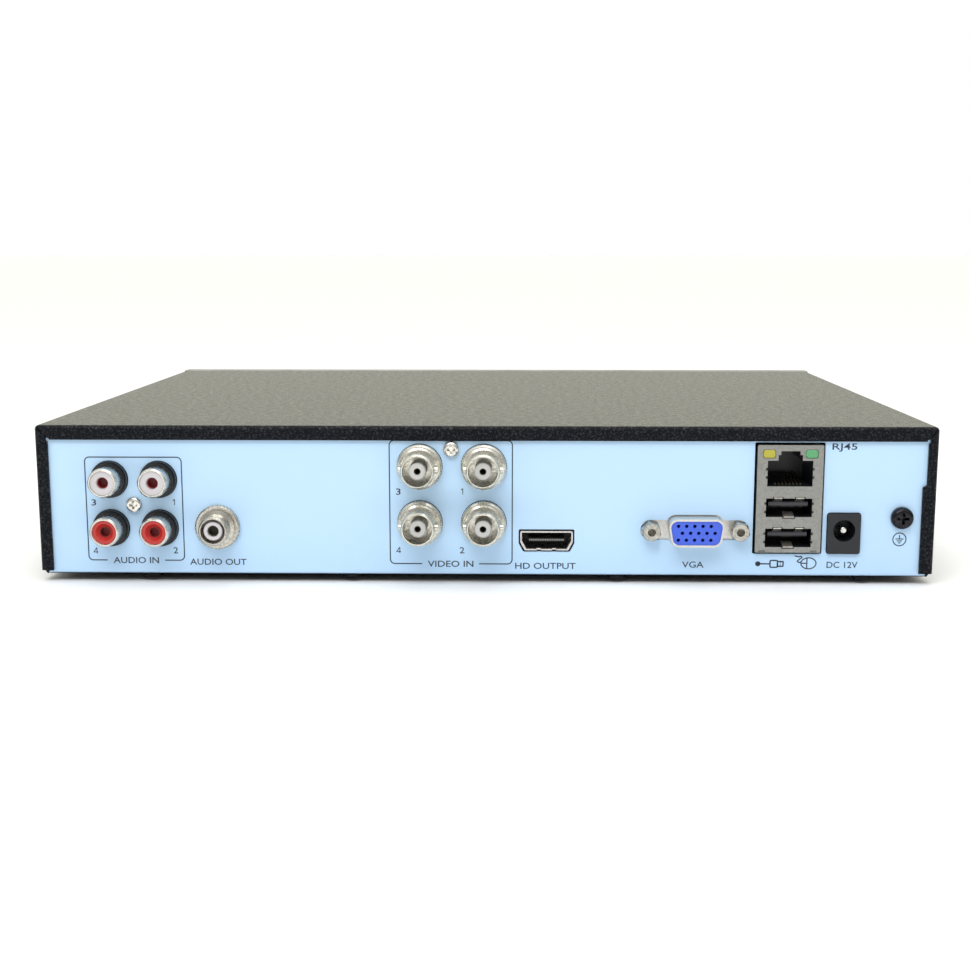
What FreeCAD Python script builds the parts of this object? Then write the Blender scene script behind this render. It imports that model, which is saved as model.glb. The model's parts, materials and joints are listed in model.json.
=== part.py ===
import FreeCAD, Part
import math
import os

# Four-channel security video recorder in a small folded-steel case.
# Frame: +Z up, front towards -Y, socket panel towards +Y, origin under the middle of the whole part.
# All sizes are millimetres. Positions on the socket panel are given as the panel is read from behind:
# a distance from its left edge, and a height above the underside of the case.

V = FreeCAD.Vector

# ---- case ----
case_w = 255.0
case_d = 212.0
case_h = 43.0
foot_h = 2.2
cover_t = 0.8
tray_t = 0.8
panel_t = 1.0
panel_low = 0.3          # lower edge of the panel's face above the underside
bend_r = 1.2
slip = 0.2              # gap all round between the cover and what it slides past
cover_rise = 1.1        # lower edge of the cover above the underside of the case
lip_top = 4.1
lip_left = 3.6
lip_right = 4.0
lip_right_upper = 2.9
lip_step_h = 26.5       # height at which the right lip gets narrower
seam_gap = 0.25
tray_wall_h = 16.0
front_wall_h = 35.0
panel_fold = 7.0
vent_count = 18
vent_pitch = 5.0
vent_w = 2.2
vent_h = 15.0
vent_mid_h = 25.0
vent_start = 34.0       # first vent behind the front face

# ---- front ----
bezel_d = 10.0
bezel_wall = 2.2
bezel_edge_r = 2.0
collar_d = 4.0
collar_t = 1.4
window_w = 168.0
window_h = 17.0
window_t = 1.6
window_h_mid = 24.0     # height of the window's middle above the underside
light_r = 1.3
light_pitch = 14.0
light_h_mid = 8.6
front_board_w = 180.0
front_board_h = 26.0

# ---- screws and rivets ----
screw_r = 1.5
screw_head_r = 2.8
screw_head_h = 1.9
ground_head_r = 3.15
ground_head_h = 2.3
ground_len = 6.5
ground_travel = 6.0
socket_head_r = 2.25
run_gap = 0.05          # running clearance of the ground screw and of the drive's turning parts
cross_t = 0.75
cover_screw_h = 8.0
cover_screw_inset = 36.0

# ---- main board ----
board_t = 1.6
board_top_h = 6.8
board_side_gap = 9.5
board_d = 80.0
board_gap = 1.4         # between the board and the panel's inner face
standoff_r = 2.6

# ---- sockets, as read from behind ----
rca_pitch = 14.0
audio_left = 20.65
audio_low = 13.5
rca_ring_wall = 1.05
rca_tier_wall = 0.6
rca_ring_out = 1.4
rca_tier_out = 2.5
rca_out = 8.6
rca_barrel_r = 4.15
rca_barrel_wall = 0.85
rca_stem_step = 0.2      # the sleeve is this much slimmer inside its block
rca_hole_r = 1.6
rca_block_rim = 1.4      # block beyond its outermost rings
rca_block_d = 13.0
rca_back = 10.0
audio_out_block_d = 12.0
video_block_d = 16.0
audio_screw_left = 27.5
audio_screw_h = 20.3
audio_out_left = 51.3
audio_out_h = 13.9
audio_out_reach = 8.4
audio_out_back = 9.0
nut_r = 6.35
video_left = 109.1
video_low = 15.2
video_pitch_x = 18.2
video_pitch_z = 16.2
video_reach = 11.5
video_barrel_r = 4.8
video_bore_r = 4.05
video_insulator_r = 2.4
video_contact_r = 0.95
video_lug_span = 11.1
video_lug_r = 0.95
video_lug_back = 4.6    # from the barrel's mouth to the lugs' middle
video_land = 2.8        # plain stretch in front of the lugs that a plug slides on
video_neck_step = 0.2   # the barrel is this much slimmer behind that stretch
mouth_bevel = 0.5
video_screw_left = 118.1
video_screw_h = 36.4
hd_left = 145.2
hd_h = 10.2
hd_w = 15.0
hd_tall = 5.6
hd_depth = 11.5
hd_gap = 0.45            # dark gap round the socket in the panel
hd_out = 0.3
hd_tongue_w = 10.2
hd_notch_span = 4.4
hd_notch_w = 1.2
hd_notch_d = 1.2
plate_t = 0.45           # drawn sheet of the display sockets' shells
vga_left = 187.3
vga_h = 13.4
vga_spacing = 25.0
vga_flange_w = 30.8
vga_flange_h = 12.5
vga_slot_h = 5.7
vga_shell_w = 16.4
vga_shell_h = 8.0
vga_reach = 5.6
vga_rim_t = 0.6
vga_flange_t = 0.8
vga_core_in = 0.4        # core behind the shell's mouth
vga_pin_pitch_x = 2.29
vga_pin_pitch_z = 1.98
vga_pin_r = 0.5
jack_flats = 4.9
jack_reach = 4.2
jack_hole_r = 1.15
stack_left = 213.55
stack_w = 18.5
stack_bottom = 7.2
stack_top = 37.9
stack_depth = 25.5
stack_out = 1.2
stack_gap = 0.6          # dark gap round the stack in the panel
cage_t = 0.4
lan_w = 12.7
lan_bottom = 26.2
lan_top = 33.5
lan_step_w = 6.8
lan_step_top = 35.1
lan_key_w = 5.4
lan_key_top = 36.2
lan_depth = 16.0
lamp_w = 3.4
lamp_h = 2.3
lamp_span = 11.9        # between the two lamps' middles
lamp_h_mid = 35.4
usb_w = 13.0
usb_tall = 5.3
usb_upper = 20.1
usb_lower = 11.45
usb_depth = 14.0
usb_tab_span = 6.2      # between the middles of the two upper spring tabs
usb_tab_w = 2.4
usb_low_tab_w = 3.0
tab_relief = 0.3        # slot beside a spring tab
tab_rise = 0.45         # how far a tab's slot cuts into the cage beyond the opening
notch_w = 0.45
notch_h = 0.7
usb_notch_low = 0.27     # side notches, as fractions of an opening's height
usb_notch_high = 0.73
lan_notch_low = 0.35
lan_notch_high = 0.67
slit_w = 1.9             # slits at the cage's feet
slit_in = 2.0
slit_low = 0.15
slit_high = 0.6
usb_tongue_in = 1.2
usb_tongue_down = 0.95   # below the opening's upper edge
usb_tongue_w = 11.1
usb_tongue_t = 1.6
power_left = 229.4
power_w = 9.3
power_tall = 11.6
power_h = 12.6
power_depth = 14.4
power_out = 1.0
power_bore_r = 3.1
power_bore_h = 13.5
power_pin_r = 1.0
ground_left = 245.6
ground_h = 17.2
hole_gap = 0.2          # round a socket in its panel hole

# ---- hard drive ----
drive_l = 147.0
drive_w = 101.6
drive_h = 26.1
drive_lid_t = 1.3
spacer_h = 5.0
spacer_r = 5.0
drive_gap_front = 4.0
drive_left_gap = 9.0
platter_r = 47.5
platter_t = 1.3
platter_gap = 4.4
hub_r = 12.5
cavity_gap = 1.1

# ---- derived sizes and levels ----
rca_ring_r = rca_barrel_r + rca_ring_wall
rca_tier_r = rca_barrel_r + rca_tier_wall
rca_insert_r = rca_barrel_r - rca_barrel_wall
rca_stem_r = rca_barrel_r - rca_stem_step
board_w = case_w - 2 * board_side_gap
z_base = foot_h
z_floor = z_base + tray_t
z_top = z_base + case_h
z_board = z_base + board_top_h
cover_inner_x = case_w / 2 - cover_t
tray_x = cover_inner_x - slip
recess = cover_t + slip
y_front = -(case_d + video_reach - recess) / 2
y_rear = y_front + case_d
y_panel = y_rear - recess
y_panel_in = y_panel - panel_t
y_bezel_back = y_front + bezel_d
y_wall = y_bezel_back + collar_d + 1.0
board_back = y_panel_in - board_gap
board_front = board_back - board_d
drive_y0 = y_wall + tray_t + drive_gap_front
drive_x0 = -tray_x + tray_t + drive_left_gap
drive_z0 = z_floor + spacer_h


def from_left(distance):
    """x of a point on the socket panel, from its distance to the case's left edge seen from behind."""
    return case_w / 2 - distance


def box(x0, x1, y0, y1, z0, z1):
    return Part.makeBox(x1 - x0, y1 - y0, z1 - z0, V(x0, y0, z0))


def rod_x(y, z, r, x0, x1):
    return Part.makeCylinder(r, x1 - x0, V(x0, y, z), V(1, 0, 0))


def rod_y(x, z, r, y0, y1):
    return Part.makeCylinder(r, y1 - y0, V(x, y0, z), V(0, 1, 0))


def rod_z(x, y, r, z0, z1):
    return Part.makeCylinder(r, z1 - z0, V(x, y, z0), V(0, 0, 1))


def ring_y(x, z, r_out, r_in, y0, y1):
    return rod_y(x, z, r_out, y0, y1).cut(rod_y(x, z, r_in, y0 - 1, y1 + 1))


def prism_y(points, y0, y1):
    """Extrude a closed outline of (x, z) points along +Y."""
    wire = Part.makePolygon([V(x, y0, z) for x, z in points + points[:1]])
    return Part.Face(wire).extrude(V(0, y1 - y0, 0))


def prism_z(points, z0, z1):
    """Extrude a closed outline of (x, y) points along +Z."""
    wire = Part.makePolygon([V(x, y, z0) for x, y in points + points[:1]])
    return Part.Face(wire).extrude(V(0, 0, z1 - z0))


def edges_along(shape, direction):
    """Straight edges of a shape that run along one axis, 'X', 'Y' or 'Z'."""
    axis = {"X": V(1, 0, 0), "Y": V(0, 1, 0), "Z": V(0, 0, 1)}[direction]
    found = []
    for edge in shape.Edges:
        if isinstance(edge.Curve, Part.Line) and abs(abs(edge.Curve.Direction.dot(axis)) - 1) < 1e-6:
            found.append(edge)
    return found


def circles(shape):
    return [e for e in shape.Edges if isinstance(e.Curve, Part.Circle)]


def soft_box(x0, x1, y0, y1, z0, z1, r, direction):
    """Box whose four edges along one axis are rounded."""
    plain = box(x0, x1, y0, y1, z0, z1)
    return plain.makeFillet(r, edges_along(plain, direction))


def fuse(shapes):
    whole = shapes[0]
    for shape in shapes[1:]:
        whole = whole.fuse(shape)
    return whole.removeSplitter()


def cut(shape, tools):
    for tool in tools:
        shape = shape.cut(tool)
    return shape.removeSplitter()


def revolve_y(profile, x, z, y0):
    """Turn a closed (radius, distance) outline about the line through (x, z) along +Y."""
    wire = Part.makePolygon([V(x + r, y0 + y, z) for r, y in profile + profile[:1]])
    solid = Part.Face(wire).revolve(V(x, y0, z), V(0, 1, 0), 360)
    return Part.makeSolid(solid) if solid.ShapeType != "Solid" else solid


def cross_recess(r, depth):
    """Cross-shaped driver recess, mouth on z = 0 and pointing down."""
    blades = []
    for turn in (0, 90):
        foot = r * 0.45
        points = [(-r, 0.1), (r, 0.1), (foot, -depth), (-foot, -depth)]
        blade = prism_y(points, -cross_t / 2, cross_t / 2)
        blade.rotate(V(0, 0, 0), V(0, 0, 1), turn)
        blades.append(blade)
    return blades[0].fuse(blades[1])


def pan_screw(head_r, head_h, shank_r, length):
    """Cross-recess pan-head screw, head above z = 0 and shank below it."""
    head = Part.makeCylinder(head_r, head_h)
    rim = [e for e in circles(head) if e.CenterOfMass.z > head_h / 2]
    head = head.makeFillet(head_h * 0.6, rim)
    shank = Part.makeCylinder(shank_r, length, V(0, 0, -length))
    recess_tool = cross_recess(head_r * 0.55, head_h * 0.72)
    recess_tool.translate(V(0, 0, head_h))
    return head.fuse(shank).cut(recess_tool).removeSplitter()


def point_screw(screw, towards, place):
    """Turn a screw's head from +Z towards a direction, and put its seat at a place."""
    turned = screw.copy()
    turn = FreeCAD.Rotation(V(0, 0, 1), towards)
    turned.Placement = FreeCAD.Placement(place, turn)
    return turned


def save(name, shapes):
    parts = []
    for shape in shapes:
        parts.extend(shape.Solids)
    whole = parts[0] if len(parts) == 1 else Part.makeCompound(parts)
    if not whole.isValid():
        raise ValueError(name + " is not a valid solid")
    whole.exportStep(os.path.join("parts", name + ".step"))


# ------------------------------------------------------------------ case

def top_cover():
    """Inverted channel with a narrow lip folded round the socket panel."""
    half = case_w / 2
    low = z_base + cover_rise
    front = y_bezel_back + slip
    outer = box(-half, half, front, y_rear, low, z_top)
    folds = []
    for edge in outer.Edges:
        middle = edge.CenterOfMass
        on_top = abs(middle.z - z_top) < 1e-6
        on_side = abs(abs(middle.x) - half) < 1e-6
        on_back = abs(middle.y - y_rear) < 1e-6
        if on_top + on_side + on_back == 2:
            folds.append(edge)
    outer = outer.makeFillet(bend_r, folds)
    inner = box(-half + cover_t, half - cover_t, front - 1, y_rear - cover_t, low - 1, z_top - cover_t)
    lip_z = z_top - lip_top
    step_z = z_base + lip_step_h
    mouth = [
        (half - lip_left, low - 1),
        (half - lip_left, lip_z),
        (-half + lip_right_upper, lip_z),
        (-half + lip_right_upper, step_z),
        (-half + lip_right, step_z - 0.6),
        (-half + lip_right, low - 1),
    ]
    tools = [inner, prism_y(mouth, y_rear - cover_t - 1, y_rear + 1)]
    tools += lip_seams(half, lip_z)
    tools += side_vents(front)
    tools += cover_screw_slots(low)
    return cut(outer, tools)


def lip_seams(half, lip_z):
    """Mitred gap where the top lip meets each side lip, with a round relief at its inner end."""
    tools = []
    for side, lip in ((1, lip_left), (-1, lip_right_upper)):
        inner = V(side * (half - lip), 0, lip_z)
        outer = V(side * (half - bend_r * 0.7), 0, z_top - bend_r * 0.7)
        along = (outer - inner).normalize()
        across = V(-along.z, 0, along.x) * (seam_gap / 2)
        corners = [inner + across, outer + across, outer - across, inner - across]
        tools.append(prism_y([(p.x, p.z) for p in corners], y_rear - cover_t - 0.1, y_rear + 1))
        tools.append(rod_y(inner.x, inner.z, 0.6, y_rear - cover_t - 0.1, y_rear + 1))
    return tools


def side_vents(front):
    """Upright slots through both sides of the cover."""
    tools = []
    low = z_base + vent_mid_h - vent_h / 2 + vent_w / 2
    high = low + vent_h - vent_w
    reach = case_w / 2 + 1
    for i in range(vent_count):
        y = y_front + vent_start + i * vent_pitch
        slot = box(-reach, reach, y - vent_w / 2, y + vent_w / 2, low, high)
        ends = [rod_x(y, z, vent_w / 2, -reach, reach) for z in (low, high)]
        tools.append(fuse([slot] + ends))
    return tools


def cover_screw_places():
    return [y_bezel_back + cover_screw_inset, y_rear - cover_screw_inset]


def cover_screw_slots(low):
    """Open slots that let the cover lift off its slackened screws."""
    tools = []
    z = z_base + cover_screw_h
    reach = case_w / 2 + 1
    r = screw_r + 0.3
    for y in cover_screw_places():
        tools.append(rod_x(y, z, r, -reach, reach))
        tools.append(box(-reach, reach, y - r, y + r, low - 1, z))
    return tools


def base_tray():
    """Folded floor with two side walls and a front wall."""
    outer = box(-tray_x, tray_x, y_wall, y_panel, z_base, z_base + tray_wall_h)
    low_edges = [e for e in edges_along(outer, "Y") if abs(e.CenterOfMass.z - z_base) < 1e-6]
    outer = outer.makeFillet(bend_r, low_edges)
    inside = tray_x - tray_t
    hollow = box(-inside, inside, y_wall - 1, y_panel + 1, z_floor, z_top)
    channel = outer.cut(hollow)
    channel = channel.cut(box(-inside, inside, y_panel_in, y_panel + 1, z_base - 1, z_floor + slip))
    tongue = box(-tray_x + bend_r, tray_x - bend_r, y_bezel_back, y_wall + 1, z_base, z_floor)
    wall = box(-inside, inside, y_wall, y_wall + tray_t, z_base, z_base + front_wall_h)
    tray = fuse([channel, tongue, wall])
    tools = floor_vents() + front_lead_notch()
    for y in cover_screw_places():
        tools.append(rod_x(y, z_base + cover_screw_h, screw_r, -case_w, case_w))
    for x, z in bezel_screw_places():
        tools.append(rod_y(x, z, screw_r, y_wall - 1, y_wall + tray_t + 1))
    for x, y in drive_hole_places():
        tools.append(rod_z(x, y, screw_r, z_base - 1, z_floor + 1))
    for x in rivet_places():
        tools.append(rod_z(x, y_panel - panel_fold / 2, screw_r, z_base - 1, z_floor + 1))
    return cut(tray, tools)


def floor_vents():
    """Rows of round-ended slots in the floor below the main board."""
    tools = []
    length = 24.0
    width = 3.0
    y_mid = board_front + board_d / 2 - 6
    for i in range(-4, 5):
        x = i * 9.0
        tools.append(soft_box(x - width / 2, x + width / 2, y_mid - length / 2, y_mid + length / 2,
                              z_base - 1, z_floor + 1, width / 2 - 0.01, "Z"))
    return tools


def front_lead_notch():
    """Notch in the front wall for the indicator board's lead."""
    x, z = front_lead_start()
    return [box(x - 6, x + 6, y_wall - 1, y_wall + tray_t + 1, z - 4, z_top)]


def rivet_places():
    return [-108.0, -38.0, 38.0, 96.0]


def panel_rivets():
    """Blind rivets that tie the panel's lower fold to the floor."""
    rivets = []
    y = y_panel - panel_fold / 2
    for x in rivet_places():
        shank = rod_z(x, y, screw_r, z_base, z_floor + panel_t)
        head = rod_z(x, y, screw_r * 1.9, z_base - 0.8, z_base)
        tail = rod_z(x, y, screw_r * 1.5, z_floor + panel_t, z_floor + panel_t + 1.0)
        rivets.append(fuse([shank, head, tail]))
    return rivets


def rear_panel():
    """Shallow folded pan that carries every socket; its face hides the floor's edge."""
    x = tray_x - tray_t
    top = z_top - cover_t - slip
    folds = box(-x, x, y_panel - panel_fold, y_panel_in, z_floor, top)
    face = box(-x, x, y_panel_in, y_panel, z_base + panel_low, top)
    outer = fuse([folds, face])
    outer = outer.makeFillet(bend_r * 0.6, [e for e in outer.Edges if e.CenterOfMass.y > y_panel - 0.01])
    inner = box(-x + panel_t, x - panel_t, y_panel - panel_fold - 1, y_panel_in,
                z_floor + panel_t, top - panel_t)
    tools = [inner] + panel_cutouts()
    for rivet_x in rivet_places():
        tools.append(rod_z(rivet_x, y_panel - panel_fold / 2, screw_r, z_base, z_floor + panel_t + 1))
    return cut(outer, tools)


def panel_cutouts():
    y0, y1 = y_panel_in - 1, y_panel + 1
    tools = [rod_y(x, z, rca_ring_r + hole_gap, y0, y1) for x, z in audio_places()]
    tools += [rod_y(x, z, nut_r + hole_gap, y0, y1) for x, z in video_places()]
    tools.append(rod_y(from_left(audio_out_left), z_base + audio_out_h, rca_barrel_r + 0.6, y0, y1))
    tools += [rod_y(x, z, screw_r, y0, y1) for x, z in socket_screw_places()]
    tools.append(rod_y(from_left(ground_left), z_base + ground_h, screw_r + run_gap, y0, y1))
    tools.append(hd_outline(hd_gap, y0, y1))
    tools += vga_cutouts(y0, y1)
    x = from_left(stack_left)
    tools.append(soft_box(x - stack_w / 2 - stack_gap, x + stack_w / 2 + stack_gap, y0, y1,
                          z_base + stack_bottom - stack_gap, z_base + stack_top + stack_gap, 0.5, "Y"))
    x = from_left(power_left)
    z = z_base + power_h
    tools.append(soft_box(x - power_w / 2 - hole_gap, x + power_w / 2 + hole_gap, y0, y1,
                          z - power_tall / 2 - hole_gap, z + power_tall / 2 + hole_gap, 0.9, "Y"))
    return tools


def rubber_feet():
    feet = []
    inset_x, inset_y = 28.0, 24.0
    for x in (-case_w / 2 + inset_x, case_w / 2 - inset_x):
        for y in (y_front + inset_y, y_rear - inset_y):
            foot = Part.makeCone(6.0, 7.0, foot_h, V(x, y, 0))
            rim = [e for e in circles(foot) if e.CenterOfMass.z < 0.01]
            feet.append(foot.makeFillet(0.6, rim))
    return feet


def cover_screws():
    """Side screws, heads just outside the cover."""
    screw = pan_screw(screw_head_r, screw_head_h, screw_r, 5.0)
    seat = case_w / 2 + slip / 2
    screws = []
    for y in cover_screw_places():
        for side in (-1, 1):
            place = V(side * seat, y, z_base + cover_screw_h)
            screws.append(point_screw(screw, V(side, 0, 0), place))
    return screws


# ------------------------------------------------------------------ front

def bezel_screw_places():
    return [(-case_w / 2 + 12, z_base + 14), (case_w / 2 - 12, z_base + 14)]


def light_places():
    return [(-window_w / 2 + light_pitch * (i + 1), z_base + light_h_mid) for i in range(3)]


def front_bezel():
    """Moulded front with a collar that the cover's front edge rests on."""
    half = case_w / 2
    shell = box(-half, half, y_front, y_bezel_back, z_base, z_top)
    front_edges = [e for e in shell.Edges if e.CenterOfMass.y < y_front + 0.01]
    shell = shell.makeFillet(bezel_edge_r, front_edges)
    hollow = box(-half + bezel_wall, half - bezel_wall, y_front + bezel_wall, y_bezel_back + 1,
                 z_base + bezel_wall, z_top - bezel_wall)
    shell = shell.cut(hollow)
    shell = fuse([shell, bezel_collar()] + bezel_posts())
    z = z_base + window_h_mid
    pocket = soft_box(-window_w / 2 - 0.1, window_w / 2 + 0.1, y_front - 1, y_front + window_t + 0.2,
                      z - window_h / 2 - 0.1, z + window_h / 2 + 0.1, 3.0, "Y")
    sight = soft_box(-window_w / 2 + 3, window_w / 2 - 3, y_front - 1, y_front + bezel_wall + 1,
                     z - window_h / 2 + 3, z + window_h / 2 - 3, 1.5, "Y")
    tools = [pocket, sight]
    tools += [rod_y(x, zl, light_r, y_front - 1, y_front + bezel_wall + 1) for x, zl in light_places()]
    for x, zs in bezel_screw_places():
        tools.append(rod_y(x, zs, 1.2, y_wall - 6, y_wall + 1))
    for x, zs in front_board_screw_places():
        tools.append(rod_y(x, zs, 1.2, front_board_y() - 3, front_board_y() + 1))
    return cut(shell, tools)


def bezel_collar():
    x = cover_inner_x - slip
    top = z_top - cover_t - slip
    low = z_floor + 0.3
    y0, y1 = y_bezel_back - bezel_wall, y_bezel_back + collar_d
    outer = box(-x, x, y0, y1, low, top)
    inner = box(-x + collar_t, x - collar_t, y0 - 1, y1 + 1, low - 1, top - collar_t)
    web = box(-x, x, y0, y_bezel_back, low, top)
    rim_x = case_w / 2 - bezel_wall - 1
    gap = box(-rim_x, rim_x, y0 - 1, y1 + 1, low - 1, z_top - bezel_wall - 1)
    return fuse([outer.cut(inner), web.cut(gap)])


def bezel_posts():
    """Screw posts to the tray's front wall, and short ones for the indicator board."""
    posts = [rod_y(x, z, 3.4, y_front + 1, y_wall) for x, z in bezel_screw_places()]
    posts += [rod_y(x, z, 2.6, y_front + 1, front_board_y()) for x, z in front_board_screw_places()]
    return posts


def front_window():
    z = z_base + window_h_mid
    plate = soft_box(-window_w / 2, window_w / 2, y_front + 0.2, y_front + 0.2 + window_t,
                     z - window_h / 2, z + window_h / 2, 2.9, "Y")
    return [plate]


def front_board_y():
    """Front face of the indicator board."""
    return y_front + bezel_wall + 4.6


def front_board_screw_places():
    z = z_base + 10.2
    return [(-front_board_w / 2 + 5, z), (front_board_w / 2 - 5, z)]


def front_board():
    y0 = front_board_y()
    z0 = z_base + 4.2
    board = box(-front_board_w / 2, front_board_w / 2, y0, y0 + board_t, z0, z0 + front_board_h)
    holes = [rod_y(x, z, screw_r + 0.1, y0 - 1, y0 + board_t + 1) for x, z in front_board_screw_places()]
    return [cut(board, holes)]


def light_pipes():
    """Clear pins from the bezel's face to the lamps."""
    lamp_front = front_board_y() - 1.6
    return [rod_y(x, z, light_r, y_front, lamp_front - 0.2) for x, z in light_places()]


def front_lamps():
    y1 = front_board_y()
    return [box(x - 1.0, x + 1.0, y1 - 1.6, y1, z - 0.7, z + 0.7) for x, z in light_places()]


def remote_receiver():
    """Receiver with a round lens that looks out through the window."""
    y1 = front_board_y()
    x, z = window_w / 2 - 22, z_base + window_h_mid
    body = box(x - 3.2, x + 3.2, y1 - 2.4, y1, z - 3.5, z + 3.5)
    lens = Part.makeSphere(2.2, V(x, y1 - 2.4, z))
    return [body.fuse(lens.cut(box(x - 5, x + 5, y1 - 1.5, y1 + 5, z - 5, z + 5))).removeSplitter()]


# ------------------------------------------------------------------ main board

def standoff_places():
    edge = board_w / 2 - 6
    between_audio_and_video = from_left(83.5)
    between_hd_and_vga = from_left(162.5)
    return [(edge, board_front + 6), (edge, board_front + 52), (between_audio_and_video, board_back - 8),
            (between_hd_and_vga, board_back - 8), (-edge, board_back - 12), (-edge, board_front + 6)]


def main_board():
    board = box(-board_w / 2, board_w / 2, board_front, board_back, z_board - board_t, z_board)
    holes = [rod_z(x, y, screw_r, z_board - board_t - 1, z_board + 1) for x, y in standoff_places()]
    return [cut(board, holes)]


def board_standoffs():
    posts = []
    for x, y in standoff_places():
        post = rod_z(x, y, standoff_r, z_floor, z_board - board_t)
        bore = rod_z(x, y, screw_r, z_floor + 0.6, z_board)
        posts.append(post.cut(bore))
    return posts


def board_screws():
    """Short screws of the main board, the indicator board and the bezel."""
    screw = pan_screw(screw_head_r, screw_head_h, screw_r, 4.8)
    short = pan_screw(screw_head_r * 0.8, screw_head_h * 0.8, 1.2, 4.4)
    screws = [point_screw(screw, V(0, 0, 1), V(x, y, z_board)) for x, y in standoff_places()]
    back = front_board_y() + board_t
    screws += [point_screw(short, V(0, 1, 0), V(x, back, z)) for x, z in front_board_screw_places()]
    wall = y_wall + tray_t
    screws += [point_screw(short, V(0, 1, 0), V(x, wall, z)) for x, z in bezel_screw_places()]
    return screws


def chip(x, y, w, d, h):
    body = box(x - w / 2, x + w / 2, y - d / 2, y + d / 2, z_board, z_board + h)
    top = [e for e in body.Edges if e.CenterOfMass.z > z_board + h - 0.01]
    return body.makeChamfer(min(0.3, h / 4), top)


processor_x = -8.0
processor_side = 19.0
processor_h = 1.6
sink_side = 32.0


def heat_sink():
    """Finned block that sits on the processor."""
    y = board_front + 32
    low = z_board + processor_h
    half = sink_side / 2
    plate = box(processor_x - half, processor_x + half, y - half, y + half, low, low + 2.5)
    fins = []
    fin_count = 9
    fin_t = 1.1
    step = (sink_side - fin_t) / (fin_count - 1)
    for i in range(fin_count):
        x = processor_x - half + i * step
        fins.append(box(x, x + fin_t, y - half, y + half, low + 2.5, low + 12.0))
    gap = box(processor_x - half - 1, processor_x + half + 1, y - 1.5, y + 1.5, low + 2.5, low + 13)
    return [cut(fuse([plate] + fins), [gap])]


def board_chips():
    """Processor under the heat sink, memory, converters and the network transformer."""
    y = board_front
    return [
        chip(processor_x, y + 32, processor_side, processor_side, processor_h),
        chip(24, y + 26, 13, 9, 1.1),
        chip(24, y + 40, 13, 9, 1.1),
        chip(46, y + 34, 12, 12, 1.2),
        chip(14, y + 58, 9, 9, 1.1),
        chip(-76, y + 42, 9, 9, 1.1),
        chip(-44, y + 16, 8, 5, 1.4),
        chip(86, y + 50, 10, 10, 1.2),
        chip(-88, y + 24, 16, 9, 5.0),
    ]


def capacitors():
    """Upright aluminium cans."""
    places = [(-108, 50), (-98, 50), (-104, 38), (-64, 50), (62, 54), (60, 18), (100, 38)]
    cans = []
    for x, y in places:
        can = rod_z(x, board_front + y, 3.15, z_board, z_board + 7.7)
        rims = [e for e in circles(can) if e.CenterOfMass.z > z_board + 5]
        cans.append(can.makeFillet(0.4, rims))
    return cans


def inductors():
    coils = []
    for x, y in ((-92, 38), (-56, 34), (74, 34)):
        coils.append(soft_box(x - 3.5, x + 3.5, board_front + y - 3.5, board_front + y + 3.5,
                              z_board, z_board + 3.2, 1.0, "Z"))
    return coils


cell_x = 92.0
cell_y_in = 20.0
cell_r = 10.0
cell_t = 3.2
cell_lift = 1.2


def cell_holder():
    """Round cup with one open side."""
    y = board_front + cell_y_in
    top = z_board + cell_lift + cell_t
    cup = rod_z(cell_x, y, cell_r + 1.6, z_board, top)
    room = rod_z(cell_x, y, cell_r + 0.1, z_board + cell_lift, top + 1)
    side = box(cell_x - 5, cell_x + 5, y - cell_r - 3, y, z_board + cell_lift, top + 1)
    return [cut(cup, [room, side])]


def coin_cell():
    y = board_front + cell_y_in
    low = z_board + cell_lift
    cell = rod_z(cell_x, y, cell_r, low, low + cell_t)
    return [cell.makeFillet(0.4, circles(cell))]


def buzzer():
    x, y = -60.0, board_front + 10
    body = rod_z(x, y, 6.0, z_board, z_board + 8.5)
    return [body.cut(rod_z(x, y, 1.2, z_board + 7.0, z_board + 9))]


# ------------------------------------------------------------------ drive leads

lead_z = drive_z0 + 4.4
data_header_x = 54.0
power_header_x = 66.0
header_d = 9.0
plug_len = 12.0
drive_end = drive_x0 + drive_l
data_port_in = 24.0      # from the drive's front side to the data port's middle
power_port_in = 46.0
data_bend = 13.0
power_bend = 24.0
header_out = 0.6         # sockets reach past the board's front edge
plug_in = 5.0
drive_plug_in = 3.0
drive_plug_out = 7.0
lead_r = 1.8
front_lead_r = 1.4
plug_half_h = 2.0
front_plug_d = 4.0


def drive_port_y(inset):
    return drive_y0 + drive_w - inset


def board_headers():
    """Data socket, drive power socket and the indicator board's socket, all facing forwards."""
    heads = []
    for x, w in ((data_header_x, 11.0), (power_header_x, 10.0), (front_lead_start()[0], 8.0)):
        y0 = board_front - header_out
        body = box(x - w / 2, x + w / 2, y0, y0 + header_d, z_board, lead_z + plug_half_h + 1)
        room = box(x - w / 2 + 1, x + w / 2 - 1, y0 - 1, plug_back(),
                   lead_z - plug_half_h, lead_z + plug_half_h)
        heads.append(body.cut(room))
    return heads


def lead_plugs():
    """Moulded plugs on both ends of the drive's leads and of the indicator lead."""
    plugs = []
    y1 = plug_back()
    low, high = lead_z - plug_half_h, lead_z + plug_half_h
    for x, w in ((data_header_x, 9.0), (power_header_x, 8.0), (front_lead_start()[0], 6.0)):
        plugs.append(box(x - w / 2, x + w / 2, y1 - plug_len, y1, low, high))
    for inset, w in ((data_port_in, 11.0), (power_port_in, 20.0)):
        y = drive_port_y(inset)
        plugs.append(box(drive_end - drive_plug_in, drive_end + drive_plug_out,
                         y - w / 2, y + w / 2, low, high))
    x, z = front_lead_start()
    y0 = front_board_y() + board_t
    plugs.append(box(x - 4, x + 4, y0, y0 + front_plug_d, z - 2.5, z + 2.5))
    return plugs


def plug_back():
    """How far back a plug reaches into its socket on the main board."""
    return board_front - header_out + plug_in


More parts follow.
